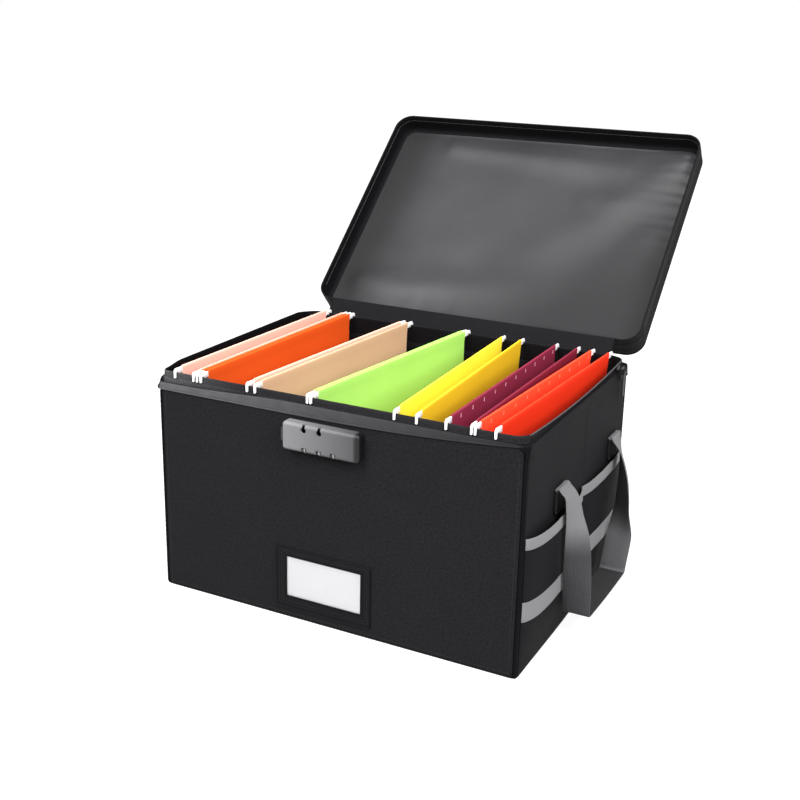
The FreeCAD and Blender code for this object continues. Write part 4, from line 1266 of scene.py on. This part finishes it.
zipSpec = {
    "teeth": {"tree": stitchTree, "pitch": 1.7, "size": (0.34, 0.42, 0.62), "up": (0.0, 0.0, 1.0),
              "uneven": 0.0, "seed": 1},
    "rim": {"half": (218.95, 160.95), "radius": 7.7, "z": 251.42},
    "lid": {"offset": -0.9, "z": 252.72, "end": 108.0},
    "seams": {"offset": 0.12, "heights": (265.35, 283.0)},
    "tape": {"offset": -2.1, "z": 260.8},
}


def opened(path):
    return [openTurn @ (p * mm) / mm for p in path]


def makeZipTeeth():
    teeth, rim, lid, seams, tape = zipSpec.values()
    half, radius, end, thread = lidSpec["half"], lidSpec["radius"], lidSpec["zipEnd"], sewingSpec["thread"]
    path = [bandPoint(p) for p in zipPath(rim["half"], rim["radius"], rim["z"], end)]
    rowPiece("rim_zip_teeth", [path], teeth, "box", "zip_metal", "zipTeeth")
    path = opened(zipPath(half, radius, lid["z"], lid["end"], lid["offset"]))
    rowPiece("lid_zip_teeth", [path], teeth, "lid", "zip_metal", "zipTeeth")
    paths = [opened(closed(roundLoop(half, radius, z, seams["offset"]))) for z in seams["heights"]]
    rowPiece("lid_stitches", paths, thread, "lid", "cover_fabric", "threadBlack", seed=9)
    path = opened(zipPath(half, radius, tape["z"], end, tape["offset"]))
    rowPiece("lid_tape_stitches", [path], thread, "lid", "band_fabric", "threadDim", seed=9,
             size=(0.3, 0.7, 1.7))


# digits round each dial

dialSpec = {"places": (-24.0, -6.5, 10.5), "y": -165.4, "z": 205.6, "radius": 5.04, "height": 2.5,
            "heightShare": 0.7, "start": -148.0, "step": 36.0, "shift": 12.0, "cut": 0.45}


def digitMesh(digit):
    text = bpy.data.curves.new("digit", "FONT")
    text.body = str(digit)
    text.size = dialSpec["height"] / dialSpec["heightShare"]
    text.align_x = "CENTER"
    text.align_y = "CENTER"
    text.resolution_u = 3
    return meshNow(bpy.data.objects.new("digit", text))


def makeDigits():
    reach = dialSpec["radius"]
    for number, x in enumerate(dialSpec["places"], 1):
        joined = bmesh.new()
        for digit in range(10):
            flat = digitMesh(digit)
            shape = bmesh.new()
            shape.from_mesh(flat)
            for cut in range(-3, 4):  # enough edges to follow the curve
                parts = shape.verts[:] + shape.edges[:] + shape.faces[:]
                bmesh.ops.bisect_plane(shape, geom=parts, plane_co=(0, cut * dialSpec["cut"], 0),
                                       plane_no=(0, 1, 0))
            middle = math.radians(dialSpec["start"] + dialSpec["step"] * digit + dialSpec["shift"] * number)
            for vert in shape.verts:
                a = middle - vert.co.y / reach
                y, z = dialSpec["y"] + reach * math.cos(a), dialSpec["z"] + reach * math.sin(a)
                vert.co = Vector((x + vert.co.x, y, z)) * mm
            shape.to_mesh(flat)
            joined.from_mesh(flat)
            shape.free()
            bpy.data.meshes.remove(flat)
        name = "dial_digits_" + str(number)
        mesh = bpy.data.meshes.new(name)
        bmesh.ops.recalc_face_normals(joined, faces=joined.faces)
        joined.to_mesh(mesh)
        joined.free()
        place(name, mesh, "dial_" + str(number), "digitWhite", sharp=60)


# finishes on the solids that stay

nodeFinishes = {
    "lockGraphite": "lock_housing",
    "lockBlack": "dial_1 dial_2 dial_3 release_button",
    "plainSteel": "dial_axle latch_plate release_spring lock_screws lock_back_plate",
    "blackBoard": "front_board back_board right_side_boards left_side_boards base_board lid_board",
    "bareCard": "label_card",
    "clearFilm": "label_window",
    "zipEnamel": "right_slider left_slider right_pull left_pull",
    "hookWhite": " ".join("folder_" + colour + "_rods" for colour in folderPlaces),
}


def dressNodes():
    for finish, names in nodeFinishes.items():
        for name in names.split():
            mesh = cadNodes[name].data
            mesh.materials.clear()
            mesh.materials.append(bpy.data.materials[finish])


# floor, light and camera

stageSpec = {
    "floor": 8.0, "drop": -0.0005, "floorTone": 0.34, "floorGlow": 0.82, "worldLight": 0.5,
    "lamps": {  # place, aim, size, power
        "keyLight": ((-0.6, -1.6, 1.95), (0, 0, 0.2), 1.4, 78),
        "topLight": ((0.2, -0.6, 2.5), (0, 0.0, 0.25), 1.6, 46),
        "rightLight": ((2.1, -1.2, 1.9), (0.1, 0, 0.2), 1.5, 88),
    },
}


def directRays(finish):  # rays that look straight at the background
    seen, gloss, through = [finish.node("ShaderNodeLightPath", {}, {}, "Is " + kind + " Ray")
                            for kind in ("Camera", "Glossy", "Transmission")]
    return seen.math("MAXIMUM", gloss).math("MAXIMUM", through)


def makeStage():
    size, tone, base = stageSpec["floor"], stageSpec["floorTone"], stageSpec["worldLight"]
    mesh = bpy.data.meshes.new("floor")
    corners = [(x * size, y * size, stageSpec["drop"]) for x, y in ((-1, -1), (1, -1), (1, 1), (-1, 1))]
    mesh.from_pydata(corners, [], [(0, 1, 2, 3)])
    floor = link(bpy.data.objects.new("floor", mesh))
    pale = Finish("paleFloor", {"Base Color": (tone, tone, tone, 1.0), "Roughness": 0.9,
                                "Specular IOR Level": 0.1, "Emission Color": (1.0, 1.0, 1.0, 1.0)})
    pale.show("Emission Strength", directRays(pale) * stageSpec["floorGlow"])
    mesh.materials.append(pale.material)

    world = bpy.data.worlds.new("studio")
    bpy.context.scene.world = world
    sky = Finish("studio", {"Color": (1.0, 1.0, 1.0, 1.0)}, world, "Background")
    sky.show("Strength", directRays(sky) * (1 - base) + base)

    for name, (spot, aim, width, power) in stageSpec["lamps"].items():
        data = bpy.data.lights.new(name, "AREA")
        data.size = width
        data.energy = power
        lamp = link(bpy.data.objects.new(name, data))
        lamp.location = spot
        lamp.rotation_euler = (Vector(aim) - Vector(spot)).to_track_quat("-Z", "Y").to_euler()


cameraSpec = {"place": (584.5, -1159.1, 650.5), "around": 0.462307, "above": 0.305415, "roll": 0.022861,
              "focal": 1193.4, "centre": (406.0, 378.2), "image": 800}


def makeCamera():
    data = bpy.data.cameras.new("photoCamera")
    camera = link(bpy.data.objects.new("photoCamera", data))
    around, above, roll = cameraSpec["around"], cameraSpec["above"], cameraSpec["roll"]
    back = Vector((math.sin(around) * math.cos(above), -math.cos(around) * math.cos(above),
                   math.sin(above)))
    right = (-back).cross(Vector((0, 0, 1))).normalized()
    up = back.cross(right)
    level = math.cos(roll) * right + math.sin(roll) * up
    upright = math.cos(roll) * up - math.sin(roll) * right
    turn = Matrix((level, upright, back)).transposed().to_4x4()
    camera.matrix_world = Matrix.Translation(Vector(cameraSpec["place"]) * mm) @ turn
    image, (centreX, centreY) = cameraSpec["image"], cameraSpec["centre"]
    data.sensor_width = 36.0
    data.lens = cameraSpec["focal"] * data.sensor_width / image
    data.shift_x = (image / 2 - centreX) / image
    data.shift_y = (centreY - image / 2) / image
    data.clip_start = 0.01
    data.clip_end = 50.0
    bpy.context.scene.camera = camera


for stage in (makeWalls, makeCornerPiping, makeRim, makeLiner, makeLidShell, makeLidLining, makeHingeStrip,
              makePockets, makeHandles, makePatches, makeLabel, makeFolders, makeSewing, makeZipTeeth,
              makeDigits, dressNodes, makeStage, makeCamera):
    stage()
    print("stage done:", stage.__name__)
bpy.context.scene.view_settings.view_transform = "Standard"
bpy.context.view_layer.update()
print("scene ready")
